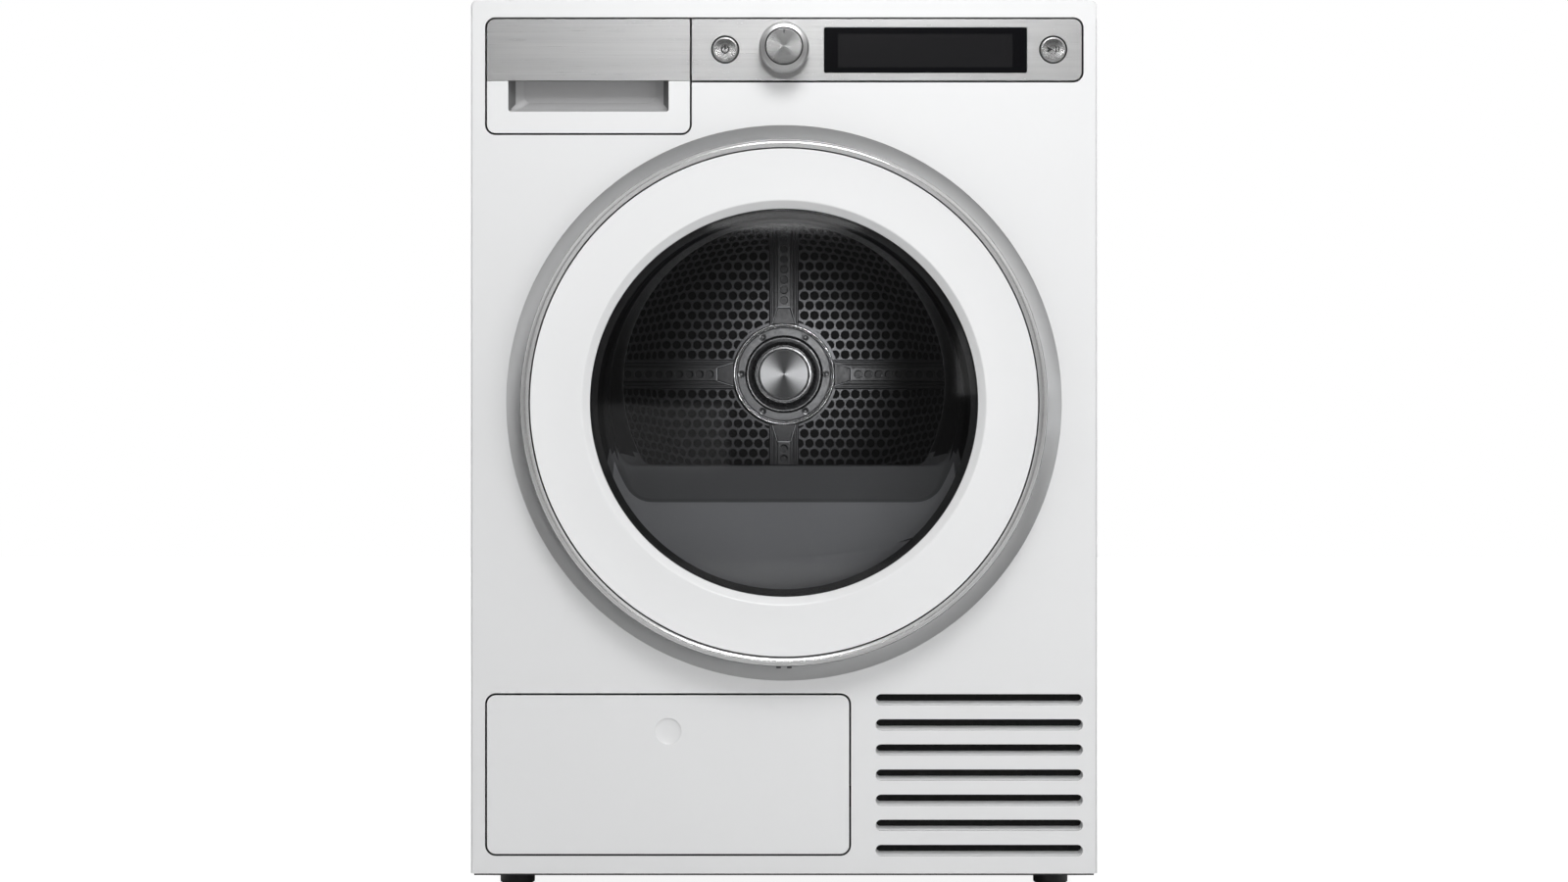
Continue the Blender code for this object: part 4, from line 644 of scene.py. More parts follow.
def button(name, node, body, symbol):
    """A turned button in a dark ring, with its symbol."""
    x = sum(span(node, "x")) / 2
    r = 0.0122
    face = lathe(name, [BUTTON_FACE, KNOB_SIDE, INK], x, CONTROL_Z, [
        (0, -0.0006, 0), (r - 0.0016, -0.0009, 0.0006), (r - 0.0002, -0.0002, 0.0006),
        (r, 0.003, 0), (0.0145, 0.003, 0), (0.0145, 0.005, 0), (0, 0.005, 0)], 128,
        slots=lambda a, b: 2 if max(a[0], b[0]) > r + 0.0001 else
        0 if max(a[0], b[0]) < r - 0.0010 and a[1] < 0 else 1)
    marks = symbol(x, -0.00095)
    put(join(face, *marks), body, node)


def ink(name, outline, d):
    """A thin dark mark."""
    return plate(name, INK, outline, [], d, d + 0.0004, 0)


def power_symbol(x, d):
    """An open ring and a bar."""
    r, w = 0.0034, 0.00055
    angles = [math.radians(90 + 38 + (360 - 76) * k / 32) for k in range(33)]
    ring = [(x + (r + w) * math.cos(a), CONTROL_Z + (r + w) * math.sin(a)) for a in angles]
    ring += [(x + (r - w) * math.cos(a), CONTROL_Z + (r - w) * math.sin(a)) for a in angles[::-1]]
    bar = rounded(x - w, x + w, CONTROL_Z + 0.0004, CONTROL_Z + 0.0048, w * 0.9, 4)
    return [ink("power_ring", ring, d), ink("power_bar", bar, d)]


def play_symbol(x, d):
    """A triangle and two bars."""
    low, high = CONTROL_Z - 0.0028, CONTROL_Z + 0.0028
    marks = [ink("play", [(x - 0.0056, low), (x - 0.0006, CONTROL_Z), (x - 0.0056, high)], d)]
    for left in (0.0022, 0.0045):
        marks.append(ink("pause", rounded(x + left, x + left + 0.0011, low, high), d))
    return marks


def knob():
    """The selector: a turned face inside a thin dark ring, and a pointer mark."""
    x = joint("knob_turn")["pos_m"][0]
    low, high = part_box("selector_knob")
    front = low[1] - FACE_Y
    r = (high[0] - low[0]) / 2
    face = r * 0.765
    body = lathe("knob", [KNOB_FACE, KNOB_SIDE, INK], x, CONTROL_Z, [
        (0, front + 0.0006, 0), (face - 0.0012, front + 0.0006, 0.0002),
        (face - 0.0010, front + 0.0014, 0), (face - 0.0001, front + 0.0014, 0),
        (face + 0.0001, front + 0.0001, 0.0003), (r * 0.94, front + 0.0012, 0.0012),
        (r, front + 0.0042, 0.002), (r, -0.0030, 0.0006), (r - 0.0012, -0.0016, 0.0004),
        (0.003, -0.0016, 0), (0.003, 0.020, 0), (0, 0.020, 0)], 192,
        slots=lambda a, b: 0 if max(a[0], b[0]) < face - 0.00115 and a[1] < front + 0.002 else
        2 if max(a[0], b[0]) < face + 0.00015 and a[1] < front + 0.002 else 1)
    mark = plate("knob_mark", INK, rounded(x - 0.0006, x + 0.0006, CONTROL_Z + face - 0.0060,
                                           CONTROL_Z + face - 0.0018, 0.0005), [],
                 front + 0.00045, front + 0.0009, 0)
    put(join(body, mark), "knob", "selector_knob")


def drawer():
    """The drawer front with its grip pocket, and the metal trim above."""
    (x0, x1), (z0, z1) = face_box("container_front")
    trim_z = span("container_trim", "z")[0]
    grip = rounded(x0 + 0.0202, x1 - 0.0202, z0 + 0.0205, trim_z - 0.0003, [0.0022, 0.0022, 0, 0])
    face = plate("drawer_face", WHITE_PLASTIC,
                 rounded(x0, x1, z0, trim_z - 0.0003, [ROUND_R, ROUND_R, 0, 0]), [grip], 0.0, 0.003,
                 0.0004)
    # Painted shade: the drawer front's outer walls are grey for the dark seam round it.
    paint_seam_shade(face, SEAM_SHADE)
    shell = grown((x0, x1), (z0, z1), -2e-4, [ROUND_R, ROUND_R, 0, ROUND_R])
    inner = grown((x0, x1), (z0, z1), -0.0025, 0.006)
    rim = plate("drawer_rim", DARK, shell, [inner], 0.0060, 0.028, 0)
    # The grip: a pocket with rounded inside corners that opens upwards behind the trim.
    rings = []
    for d, inset in ((0.0018, 0.0), (0.006, 0.0003), (0.014, 0.0016), (0.020, 0.0055), (0.0232, 0.013)):
        ring = rounded(x0 + 0.0202 + inset, x1 - 0.0202 - inset, z0 + 0.0205 + inset * 0.8,
                       z1 - 0.010, 0.0022 + inset * 0.4, 6)
        rings.append([(x, d, z) for x, z in ring])
    pocket = loft("grip", [POCKET, POCKET_SIDE_SHADE], rings)
    # Painted shade: the pocket's left and right walls are a darker grey than its back.
    for wall in pocket.data.polygons:
        wall.material_index = int(abs(wall.normal.x) > 0.8)
    floor = plate("grip_floor", POCKET, [(x, z) for x, _, z in rings[-1]], [], 0.0230, 0.0236, 0)
    put(join(face, rim, pocket, floor), "container", "container_front")
    trim = plate("drawer_trim", STEEL, rounded(x0, x1, trim_z, z1, [0, 0, 0, ROUND_R]), [], 0.0,
                 0.0015, 0.00035)
    put(trim, "container", "container_trim")


def flap():
    """The service flap with its shallow round dimple and the lugs under it."""
    (x0, x1), (z0, z1) = face_box("service_flap")
    x, z = (x0 + x1) / 2, z1 - 0.0342
    r = 0.0125
    face = plate("flap_face", WHITE_PLASTIC, rounded(x0, x1, z0, z1, 0.0085), [circle(x, z, r, 96)],
                 0.0, 0.0036, 0.0006)
    # Painted shade: the flap's outer walls are grey for the dark seam round it.
    paint_seam_shade(face, SEAM_SHADE)
    dimple = lathe("dimple", WHITE_PLASTIC, x, z, [
        (0, 0.0023, 0), (r * 0.5, 0.0021, 0.004), (r * 0.88, 0.0012, 0.003), (r + 0.0002, 0.0003, 0),
        (r + 0.0002, 0.0030, 0), (0, 0.0034, 0)], 96, corner=5)
    parts = [face, dimple]
    for shift in (-0.0942, 0.0, 0.0942):
        parts.append(box("lug", DARK, (x + shift - 0.0097, x + shift + 0.0097), (0.0012, 0.0080),
                         (z0 - 0.0010, z0 + 0.012)))
    put(join(*parts), "flap", "service_flap")


# ---- door ----
def door():
    """The door: metal ring, white ring, smoked pane, dark moulding, inner pane and seal."""
    r, front = DOOR_R, span("door_trim", "y")[0] - FACE_Y
    inner = r - TRIM_W
    back = 0.0080
    ring = lathe("trim_ring", [SATIN, RING_SIDE_SHADE], DOOR_X, DOOR_Z, [
        (inner, front + 0.0036, 0.0006), (inner + 0.0006, front + 0.0016, 0.001),
        (inner + 0.0030, front + 0.0002, 0.0015), (inner + 0.0052, front + 0.0001, 0.0015),
        (r - 0.0012, front + 0.0022, 0.002), (r, front + 0.0066, 0.003), (r, back - 0.004, 0.001),
        (r - 0.002, back, 0.001), (inner, back, 0.001)], 288, corner=5,
        # Painted shade: the inner edge and the outer rim take a dark copy of the ring's metal, for the
        # dark lines round the ring.
        slots=lambda a, b: int(max(a[0], b[0]) < inner + 0.0003 or
                               (min(a[0], b[0]) > r - 0.0011 and max(a[1], b[1]) > front + 0.0026)))
    hinge = joint("door_hinge")["pos_m"]
    notch = box("notch", DARK, (hinge[0] - 0.010, hinge[0] + 0.016), (-0.0205, 0.020),
                (DOOR_Z - 0.032, DOOR_Z + 0.032), 0)
    carve(ring, notch)
    tabs = [box("tab", RING_SIDE_SHADE, (x - 0.0023, x + 0.0023), (-0.0190, -0.0060),
                (DOOR_Z - r - 0.0018, DOOR_Z - r + 0.0010)) for x in (-0.0051, 0.0051)]
    put(join(ring, *tabs), "door", "door_trim")

    outer, lip = inner - 0.0009, front + 0.0026
    bezel, seat = 0.1907, 0.1835
    # Painted shade: the white ring's outer wall is dark plastic, for the gap inside the metal ring.
    white = lathe("door_face", [WHITE_PLASTIC, DARK], DOOR_X, DOOR_Z, [
        (outer, lip, 0.0006), (outer - 0.010, lip + 0.0014, 0.006), (bezel + 0.020, lip + 0.0034, 0.02),
        (bezel, lip + 0.0040, 0.0012), (seat + 0.0010, -0.0150, 0.0012), (seat, -0.0142, 0.0003),
        (seat, -0.0104, 0), (bezel - 0.0017, -0.0104, 0), (bezel + 0.0023, lip + 0.0076, 0),
        (outer - 0.0095, lip + 0.0050, 0), (outer - 0.0045, lip + 0.0064, 0),
        (outer - 0.0045, -0.0020, 0), (outer, -0.0020, 0)], 288, corner=6,
        slots=lambda a, b: int(min(a[0], b[0]) > outer - 0.0002 and max(a[1], b[1]) > lip + 0.0007))
    put(white, "door", "door_frame")

    near, far = (value - FACE_Y for value in span("door_glass", "y"))
    pane = lathe("glass_pane", SMOKED, DOOR_X, DOOR_Z, [
        (0, near, 0), (GLASS_R - 0.0006, near, 0.0004), (GLASS_R, near + 0.0008, 0),
        (GLASS_R, far, 0), (0, far, 0)], 256)
    put(pane, "door", "door_glass")

    lens_back = span("door_inner_glass", "y")[1] - FACE_Y
    moulding = lathe("inner_moulding", [DARK, BLACK], DOOR_X, DOOR_Z, [
        (outer - 0.0003, back - 0.0030, 0), (0.2005, back - 0.0030, 0.002), (0.1867, -0.0101, 0),
        (0.1762, -0.0101, 0.0006), (0.1792, -0.0061, 0.002), (0.1858, lens_back + GAP, 0),
        (0.1800, lens_back + GAP, 0.0006), (0.1800, lens_back + 0.0030, 0.0008),
        (0.1905, lens_back + 0.0030, 0.0015), (0.1985, back, 0.002), (outer - 0.0003, back, 0.0008)],
        256, corner=4, slots=lambda a, b: 1 if max(a[0], b[0]) < 0.1875 else 0)
    put(moulding, "door", "door_inner_frame")
    lens = lathe("inner_lens", CLEAR, DOOR_X, DOOR_Z, [
        (0, lens_back - 0.003, 0), (0.1844, lens_back - 0.003, 0.0004), (0.1850, lens_back, 0),
        (0, lens_back, 0)], 192)
    put(lens, "door", "door_inner_glass")
    seal_back = RECESS_D - GAP
    seal = lathe("seal", RUBBER, DOOR_X, DOOR_Z, [
        (SEAL_R[0], seal_back, 0.0005), (SEAL_R[0], seal_back - 0.003, 0.001),
        (SEAL_R[1], back + GAP, 0.0015), (SEAL_R[2], back + GAP, 0.0015),
        (SEAL_R[3], seal_back - 0.003, 0.001), (SEAL_R[3], seal_back, 0.0005)], 192, corner=4)
    put(seal, "cabinet", "door_seal")


def carve(obj, cutter):
    """Cuts the cutter out of the object and applies the result."""
    step = obj.modifiers.new("Cut", "BOOLEAN")
    step.operation = "DIFFERENCE"
    step.solver = "EXACT"
    step.object = cutter
    bpy.context.view_layer.update()
    graph = bpy.context.evaluated_depsgraph_get()
    mesh = bpy.data.meshes.new_from_object(obj.evaluated_get(graph))
    mesh.set_sharp_from_angle(angle=math.radians(SHARP))
    obj.modifiers.clear()
    obj.data = mesh
    bpy.data.objects.remove(cutter)


# ---- loading mouth and drum ----
def cut_circle(z, r, sill, fillet, count=144):
    """A circle cut off flat at the sill, its two corners rounded, as (x, z) points."""
    if sill <= z - r:
        return circle(0.0, z, r, count)
    low = sill + fillet
    inner = r - fillet
    corner_x = math.sqrt(max(inner**2 - (low - z) ** 2, 0.0))
    edge = math.atan2(low - z, corner_x)
    bend = 12
    arc = count - 2 * bend - 12
    points = [(r * math.cos(edge + (math.pi - 2 * edge) * k / arc),
               z + r * math.sin(edge + (math.pi - 2 * edge) * k / arc)) for k in range(arc)]
    turn = math.pi / 2 + edge
    for k in range(bend):
        a = math.pi - edge + turn * k / bend
        points.append((-corner_x + fillet * math.cos(a), low + fillet * math.sin(a)))
    slot = min(FILTER_HALF_W, corner_x * 0.95)
    points.append((-corner_x, sill))
    points += [(-slot + 2 * slot * k / 10, sill) for k in range(11)]
    for k in range(bend):
        a = -math.pi / 2 + turn * k / bend
        points.append((corner_x + fillet * math.cos(a), low + fillet * math.sin(a)))
    return points


def open_slot(funnel):
    """Takes out the faces where the lint filter slides in."""
    shape = bmesh.new()
    shape.from_mesh(funnel.data)
    gone = [face for face in shape.faces
            if FILTER_D[0] < face.calc_center_median().y - FACE_Y < FILTER_D[1]
            and abs(face.calc_center_median().x) < FILTER_HALF_W and face.calc_center_median().z < 0.42]
    bmesh.ops.delete(shape, geom=gone, context="FACES")
    shape.to_mesh(funnel.data)
    shape.free()


def mouth():
    """The dark funnel from the port to the drum, flat below where the filter stands."""
    # Depth, radius, how far the circle is above the door's middle, height of the sill, fillet.
    steps = (
        (0.0163, 0.2015, 0.0, 0.0, 0.0),
        (0.0465, 0.2012, 0.0, 0.0, 0.0),
        (0.0476, 0.1990, 0.0, 0.3180, 0.050),
        (0.0730, 0.1760, 0.006, 0.3718, 0.030),
        (0.0745, 0.1752, 0.007, 0.3742, 0.028),
        (0.0757, 0.1742, 0.0075, 0.3762, 0.026),
        (0.0766, 0.1732, 0.008, 0.3795, 0.024),
        (0.0782, 0.1710, 0.009, 0.3990, 0.022),
        (0.0800, 0.1702, 0.0095, 0.4050, 0.020),
        (0.0830, 0.1695, 0.010, 0.4074, 0.018),
        (FILTER_D[0] - GAP, 0.1690, 0.0105, 0.4076, 0.018),
        (FILTER_D[1] + GAP, 0.1615, 0.0175, 0.4077, 0.014),
        (0.1120, 0.1585, 0.020, 0.4078, 0.012),
        (0.1165, 0.1580, 0.020, 0.4080, 0.012),
        (0.1172, 0.1590, 0.020, 0.4070, 0.012),
    )
    rings = [[(x, d, z) for x, z in cut_circle(DOOR_Z + lift, r, sill, fillet)]
             for d, r, lift, sill, fillet in steps]
    funnel = loft("mouth", [FUNNEL, SLOPE_PAINTED_LIGHT, LEDGE_PAINTED_LIGHT], rings, angle=50)
    # Painted light: the sloping floor under the port is light grey and the riser behind it mid grey,
    # lighter than the black funnel, for light through the window, most on the floor that faces up.
    for face in funnel.data.polygons:
        depth, low = face.center.y - FACE_Y, face.center.z < 0.42 and abs(face.center.x) < 0.172
        if depth < 0.0735 and low and face.center.z < 0.385:
            face.material_index = 1
        elif depth < 0.1120 and low:
            face.material_index = 2
    open_slot(funnel)
    wall_x, wall_z = face_box("front_bulkhead")
    hole = cut_circle(DOOR_Z + 0.020, 0.1590, 0.4062, 0.012)
    housing = face_box("container_housing")
    outline = [(wall_x[0], wall_z[0]), (wall_x[1], wall_z[0]), (wall_x[1], wall_z[1]),
               (housing[0][1] + 0.004, wall_z[1]), (housing[0][1] + 0.004, DRUM_Z + 0.2785),
               (housing[0][0] + 0.105, housing[1][0] - 0.001),
               (wall_x[0], housing[1][0] - 0.001)]
    wall = plate("mouth_wall", DARK, outline, [hole], 0.1170, 0.1180, 0)
    put(join(funnel, wall), "cabinet", "front_bulkhead")
    (x0, x1), (z0, z1) = face_box("lint_filter")
    top = z1 - 0.0045
    body = box("filter_frame", DARK, (x0, x1), FILTER_D, (z0, top), 0.002)
    pull = box("filter_grip", BLACK, (x0 + 0.07, x1 - 0.07), (FILTER_D[0] + 0.004, FILTER_D[1] - 0.004),
               (top - 0.004, top + 0.0008), 0.0015)
    mesh = []
    for index in range(9):
        left = x0 + 0.008 + index * (x1 - x0 - 0.016) / 9
        depths = (FILTER_D[0] - 0.0002, FILTER_D[0] + 0.002)
        mesh.append(box("filter_mesh", GREY, (left + 0.0015, left + 0.0243), depths,
                        (z0 + 0.012, top - 0.016), 0.0008))
    put(join(body, pull, *mesh), "lint_filter", "lint_filter")


def drum():
    """The punched back of the drum, the black cross and the turned disc."""
    flat = 0.140  # radius of the flat middle of the drum's back
    (y0, y1) = span("drum_back", "y")
    back_d, dish_d = y1 - FACE_Y - 0.0012, y0 - FACE_Y
    rim = (span("drum_back", "x")[1] - span("drum_back", "x")[0]) / 2
    sheet = perforated("punched_steel", (0.052, 0.052, 0.054), HOLE_PITCH, HOLE_ROW, HOLE_R,
                       flat, HUB_R + 0.004, rim - 0.010)
    pan = lathe("punched_back", [sheet], 0.0, DRUM_Z, [
        (0.010, back_d, 0), (flat, back_d, 0.02), (rim - 0.006, dish_d + 0.018, 0.006),
        (rim, dish_d + 0.012, 0.001), (rim, dish_d, 0), (rim - 0.0012, dish_d, 0),
        (rim - 0.0012, dish_d + 0.0185, 0.001), (rim - 0.0065, dish_d + 0.0192, 0.006),
        (flat, back_d + 0.0012, 0.02), (0.010, back_d + 0.0012, 0)], 192, corner=6)
    put(pan, "drum", "drum_back")
    near = back_d - GAP
    dish = (back_d - dish_d - 0.018) / (rim - 0.006 - flat)
    hub = lathe("hub", [GLOSSY_DARK, HUB_RING, SATIN], 0.0, DRUM_Z, from_level(near, [
        (0, -0.0088, 0), (0.0300, -0.0088, 0), (0.0304, -0.0128, 0.0006), (0.0318, -0.0130, 0.0006),
        (0.0340, -0.0110, 0.001), (0.0345, -0.0060, 0.002), (0.0415, -0.0052, 0.002),
        (0.0428, -0.0090, 0.0006), (0.0512, -0.0092, 0.001), (0.0530, -0.0072, 0.001),
        (0.0538, -0.0072, 0.0006), (0.0548, -0.0086, 0.0005), (0.0558, -0.0078, 0.001),
        (0.0562, 0, 0), (0.008, 0, 0), (0.008, 0.045, 0), (0, 0.045, 0)]), 192, corner=4,
        slots=lambda a, b: 1 if 0.0425 < min(a[0], b[0]) and max(a[0], b[0]) < 0.0520 else
        2 if 0.0538 < min(a[0], b[0]) < 0.0556 and a[1] < near - 0.004 else 0)
    parts = [hub]
    for k in range(6):
        a = math.radians(60 * k)
        x, z = 0.0470 * math.cos(a), DRUM_Z + 0.0470 * math.sin(a)
        parts.append(lathe("hub_screw", GLOSSY_DARK, x, z, from_level(near, [
            (0, -0.0088, 0), (0.0024, -0.0094, 0.0004), (0.0040, -0.0096, 0.0004),
            (0.0044, -0.0088, 0), (0, -0.0086, 0)]), 32))
    for k in range(4):
        parts += rib(k, near, dish, flat)
    put(join(*parts), "drum", "drum_spider")
    cap_front = span("hub_cap", "y")[0] - FACE_Y
    cap = lathe("hub_disc", [HUB_FACE, SATIN], 0.0, DRUM_Z, from_level(cap_front, [
        (0, 0.0006, 0), (0.0024, 0.0006, 0), (0.0026, 0.0002, 0), (0.0262, 0.0002, 0.0008),
        (0.0280, 0.0018, 0.0008), (0.0285, 0.0048, 0), (0, 0.0048, 0)]), 160, corner=4,
        slots=lambda a, b: 0 if max(a[0], b[0]) < 0.0264 and a[1] < cap_front + 0.002 else 1)
    put(cap, "drum", "hub_cap")


def rib(k, near, slope, flat):
    """One arm of the black cross: stepped rails, a raised strip with holes, and a ramp at the hub, with
    painted highlights along its edges.
    """
    angle = math.pi / 2 * k
    cos, sin = math.cos(angle), math.sin(angle)

    def turn(points):
        return [(r * cos - t * sin, DRUM_Z + r * sin + t * cos) for r, t in points]

    def bar(r0, r1, t0, t1):
        count = max(2, int((r1 - r0) / 0.008))
        along = [r0 + (r1 - r0) * step / count for step in range(count + 1)]
        return turn([(r, t0) for r in along] + [(r, t1) for r in reversed(along)])

    def bend(obj):
        """Follows the dished part of the drum's back."""
        for vertex in obj.data.vertices:
            r = math.hypot(vertex.co.x, vertex.co.z - DRUM_Z)
            vertex.co.y -= max(0.0, r - flat) * slope
        return obj

    wide, reach = 0.0163, 0.2600
    parts = [plate("rib_base", BLACK, bar(0.0540, reach, -wide, wide), [], near - 0.0022, near, 0.0006)]
    for side in (-1, 1):
        # Painted highlight: the rails are dark grey on the black base for their glossy edges.
        for t, w, high in ((wide - 0.0018, 0.0013, 0.0050), (wide - 0.0056, 0.0009, 0.0036)):
            rail = bar(0.0560, reach, side * t - w, side * t + w)
            parts.append(plate("rib_rail", DARK, rail, [], near - high, near - 0.0020, 0.0008))
    holes = []
    first = 0.0820
    for number in range(int((reach - 0.008 - first) / HOLE_PITCH)):
        holes.append(turn(circle(first + number * HOLE_PITCH, 0.0, HOLE_R, 20)))
    parts.append(plate("rib_strip", RIB, bar(0.0740, reach, -0.0070, 0.0070), holes, near - 0.0074,
                       near - 0.0021, 0.0005))
    ramp = [(0.0552, -0.0132), (0.0735, -0.0070), (0.0735, 0.0070), (0.0552, 0.0132)]
    parts.append(plate("rib_ramp", BLACK, turn(ramp), [], near - 0.0060, near - 0.0021, 0.0010))
    # Painted highlight: thin grey strips at the end of the raised strip and along the ramp's edges.
    edge = rounded(0.0735, 0.0750, -0.0071, 0.0071)
    parts.append(plate("rib_end_highlight", GREY, turn(edge), [], near - 0.0076, near - 0.0021, 0.0006))
    for side in (-1, 1):
        line = [(0.0560, side * 0.0132), (0.0738, side * 0.0078), (0.0738, side * 0.0071),
                (0.0560, side * 0.0124)]
        parts.append(plate("rib_line_highlight", GREY, turn(line), [], near - 0.0064, near - 0.0021, 0.0002))
    return [bend(part) for part in parts]


# ---- cabinet ----
# CAD nodes that keep their shape: their look, the rounding of their edges and their names.
KEPT = (
    (SIDE_WHITE, 0.0004, ("side_panel_left", "side_panel_right")),
    (SIDE_WHITE, 0.0006, ("top_cover",)),
    (ZINC, 0.0004, ("rear_panel", "rear_duct_cover")),
    (ZINC, 0, ("door_hinge_leaf", "door_hook", "door_hinge_bracket")),
    (DARK, 0.0006, ("cover_lever_left", "cover_lever_right")),
    (DARK, 0, ("base_pan", "drum_lifter_1", "drum_lifter_2", "drum_lifter_3")),
    (GREY, 0, ("container_housing", "container_tank", "heat_pump_housing", "exchanger_cover",
               "blower_housing", "blower_wheel", "drain_spigot", "door_latch")),
    (LEDGE_PAINTED_LIGHT, 0, ("filter_housing",)),
    (BLACK, 0, ("mains_inlet", "compressor")),
    (ALUMINIUM, 0, ("bearing_housing", "motor_body", "evaporator", "condenser")),
    (DRUM_STEEL, 0, ("motor_shaft", "drum_shell")),
    (RUBBER, 0, ("drive_belt", "support_roller_left", "support_roller_right")),
)


def kept_nodes():
    """Gives the CAD nodes that keep their shape a material and rounded edges."""
    for look, edge, nodes in KEPT:
        for node in nodes:
            round_edges(dress(node, look), edge, 2)


def feet():
    """Round pads with a hexagonal grip above, on threaded stems."""
    for node in ("foot_front_left", "foot_front_right", "foot_rear_left", "foot_rear_right"):
        (x0, x1), (y0, y1) = span(node, "x"), span(node, "y")
        x, y, r = (x0 + x1) / 2, (y0 + y1) / 2, (x1 - x0) / 2
        top = span("base_pan", "z")[0] - GAP
        sections = []
        profile = ((0.0, r * 0.86), (0.0, r * 0.90), (0.0012, r * 0.99), (0.0030, r),
                   (top * 0.60, r), (top * 0.72, r * 0.90), (top * 0.78, r * 0.62), (top, r * 0.60))
        for z, radius in profile:
            ring = []
            for k in range(96):
                a = 2 * math.pi * k / 96
                hexed = math.cos(math.pi / 6) / math.cos((a % (math.pi / 3)) - math.pi / 6)
                share = 0.0 if z < 0.004 else min(1.0, (z - 0.004) / 0.002)
                rr = radius * (1 - share + share * min(hexed * 1.06, 1))
                ring.append((x + rr * math.cos(a), y + rr * math.sin(a) - FACE_Y, z))
            sections.append(ring)
        pad = loft(node + "_pad", DARK, sections)
        cap_faces(pad)
        round_stem = circle(x, y - FACE_Y, 0.005, 24)
        stem = loft(node + "_stem", ZINC,
                    [[(*point, z) for point in round_stem] for z in (top - 0.0005, 0.034)])
        cap_faces(stem)
        body = "foot_" + "".join(word[0] for word in node.split("_")[1:])
        put(join(pad, stem), body, node)


def cap_faces(obj):
    """Closes the open ends of a loft."""
    shape = bmesh.new()
    shape.from_mesh(obj.data)
    bmesh.ops.holes_fill(shape, edges=[e for e in shape.edges if e.is_boundary])
    bmesh.ops.recalc_face_normals(shape, faces=shape.faces)
    shape.to_mesh(obj.data)
    shape.free()


def base_lugs():
    """Short dark lugs under the front panel, and a lip between them."""
    low = span("front_panel", "z")[0]
    parts = [box("base_lip", DARK, (-0.2300, 0.2150), (0.0045, 0.0075), (low - 0.0006, low + 0.0020))]
    for number in range(17):
        x = -0.2275 + number * 0.0256
        parts.append(box("base_lug", DARK, (x - 0.0017, x + 0.0017), (0.0030, 0.0095),
                         (low - 0.0016, low + 0.0010)))
    put(join(*parts), "cabinet")


# ---- stage ----
# Name, place, target, size and watts of each soft lamp.
LAMPS = (
    ("key", (0.10, -1.25, 1.50), (0.0, -0.3, 0.45), (0.5, 0.5), 9),
    ("front", (1.10, -1.7, 0.36), (0.05, 0.0, 0.33), (0.8, 0.8), 4.8),
    ("head", (0.30, -3.0, 0.45), (0.05, 0.0, 0.42), (0.6, 0.6), 8),
    ("fill", (-2.2, -2.0, 1.0), (0.0, 0.0, 0.4), (1.6, 1.6), 0.8),
    ("rear", (-1.2, 2.6, 1.8), (0.0, 0.0, 0.4), (1.8, 1.8), 30),
    ("sheen", (0.03, -4.3, 1.52), (0.0, -0.3, 0.80), (0.50, 0.14), 3.8),
    ("brow", (0.0, -4.3, 0.91), (0.0, 0.0, 0.65), (0.34, 0.05), 0.085),
    ("glow_left", (-0.27, -4.3, 0.44), (-0.11, 0.0, 0.44), (0.30, 0.14), 0.022),
    ("glow_right", (0.42, -4.3, 0.60), (0.17, 0.0, 0.51), (0.10, 0.14), 0.02),
    ("drum_lamp", (0.0, -0.16, DRUM_Z + 0.16), (0.0, 0.22, DRUM_Z), (0.04, 0.04), 0.05),
)
UNREFLECTED = ("front", "head", "fill")  # light the matt faces only


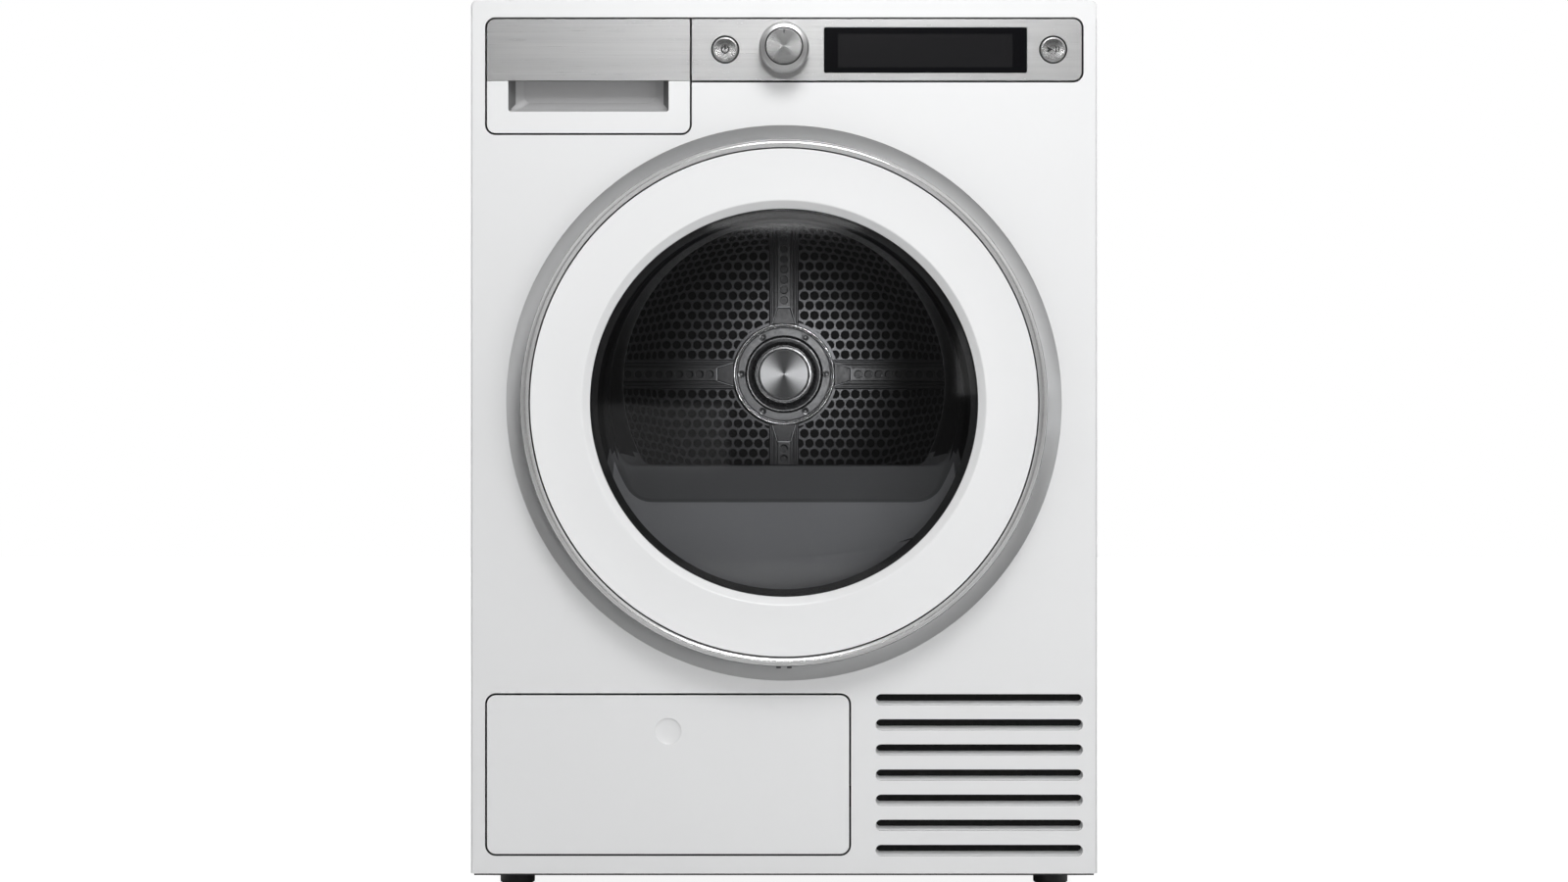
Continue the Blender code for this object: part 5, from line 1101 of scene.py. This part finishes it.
def stage():
    """Camera, floor, soft surroundings and lamps."""
    scene = bpy.context.scene
    scene.view_settings.view_transform = "Standard"
    scene.view_settings.look = "None"
    camera = bpy.data.cameras.new("camera")
    width = (CAD_HIGH[0] - CAD_LOW[0]) / BODY_SHARE
    camera.lens = camera.sensor_width * CAMERA_DISTANCE / width
    viewer = bpy.data.objects.new("camera", camera)
    scene.collection.objects.link(viewer)
    viewer.location = (0.0, FACE_Y - CAMERA_DISTANCE, CAD_HIGH[2] - width * 9 / 32)
    viewer.rotation_euler = (math.pi / 2, 0.0, 0.0)
    scene.camera = viewer

    shape = bmesh.new()
    for x, y in ((-9, -9), (9, -9), (9, 9), (-9, 9)):
        shape.verts.new((x, y, 0.0))
    shape.faces.new(shape.verts[:])
    n = Nodes("floor")
    n.set(Base_Color=n.tint(n.noise(0.8, 3), grey(0.60), 0.01), Roughness=0.9)
    n.set(Emission_Color=(1, 1, 1, 1))
    seen = n.node("ShaderNodeLightPath", out=0)
    n.set(Emission_Strength=n.math("MULTIPLY", seen, 0.9))
    from_mesh("floor", shape, n.material)

    # Soft light from above and the sides, and little straight from the front, so glass stays dark.
    scene.world = bpy.data.worlds.new("studio")
    n = Nodes("studio", scene.world)
    x, _, z = n.axes()
    above = n.ramp(z, 0.02, 0.75, 0.10, 1.0, "SMOOTHSTEP")
    right = n.ramp(x, 0.15, 0.95, 0.0, 0.75, "SMOOTHSTEP")
    left = n.ramp(x, -0.95, -0.25, 0.55, 0.0, "SMOOTHSTEP")
    light = n.math("ADD", above, n.math("ADD", left, right))
    soft = n.node("ShaderNodeBackground", Color=light, Strength=0.48)
    white = n.node("ShaderNodeBackground", Color=(1, 1, 1, 1))
    mix = n.node("ShaderNodeMixShader", i0=n.node("ShaderNodeLightPath"), i1=soft, i2=white)
    n.tree.links.new(mix, n.tree.nodes["World Output"].inputs[0])

    spot = bpy.data.lights.new("hub_spot", "SPOT")
    spot.energy, spot.spot_size, spot.spot_blend = 3.8, math.radians(40), 1.0
    spot.shadow_soft_size = 0.01
    hang("hub_spot", spot, (0.03, -0.16, DRUM_Z + 0.03), (0, 0.22, DRUM_Z))
    for name, place, target, size, power in LAMPS:
        light = bpy.data.lights.new(name, "AREA")
        light.shape = "RECTANGLE"
        light.size, light.size_y = size
        light.energy = power
        hang(name, light, place, target).visible_glossy = name not in UNREFLECTED


def hang(name, light, place, target):
    """Puts a light at a place, aimed at a target."""
    lamp = bpy.data.objects.new(name, light)
    lamp.location = place
    lamp.rotation_euler = (Vector(target) - Vector(place)).to_track_quat("-Z", "Y").to_euler()
    bpy.context.scene.collection.objects.link(lamp)
    return lamp


stage()
front_panel()
louvre()
fascia()
button("power_face", "power_button", "power", power_symbol)
button("start_face", "start_button", "start", play_symbol)
knob()
drawer()
flap()
door()
mouth()
drum()
kept_nodes()
feet()
base_lugs()
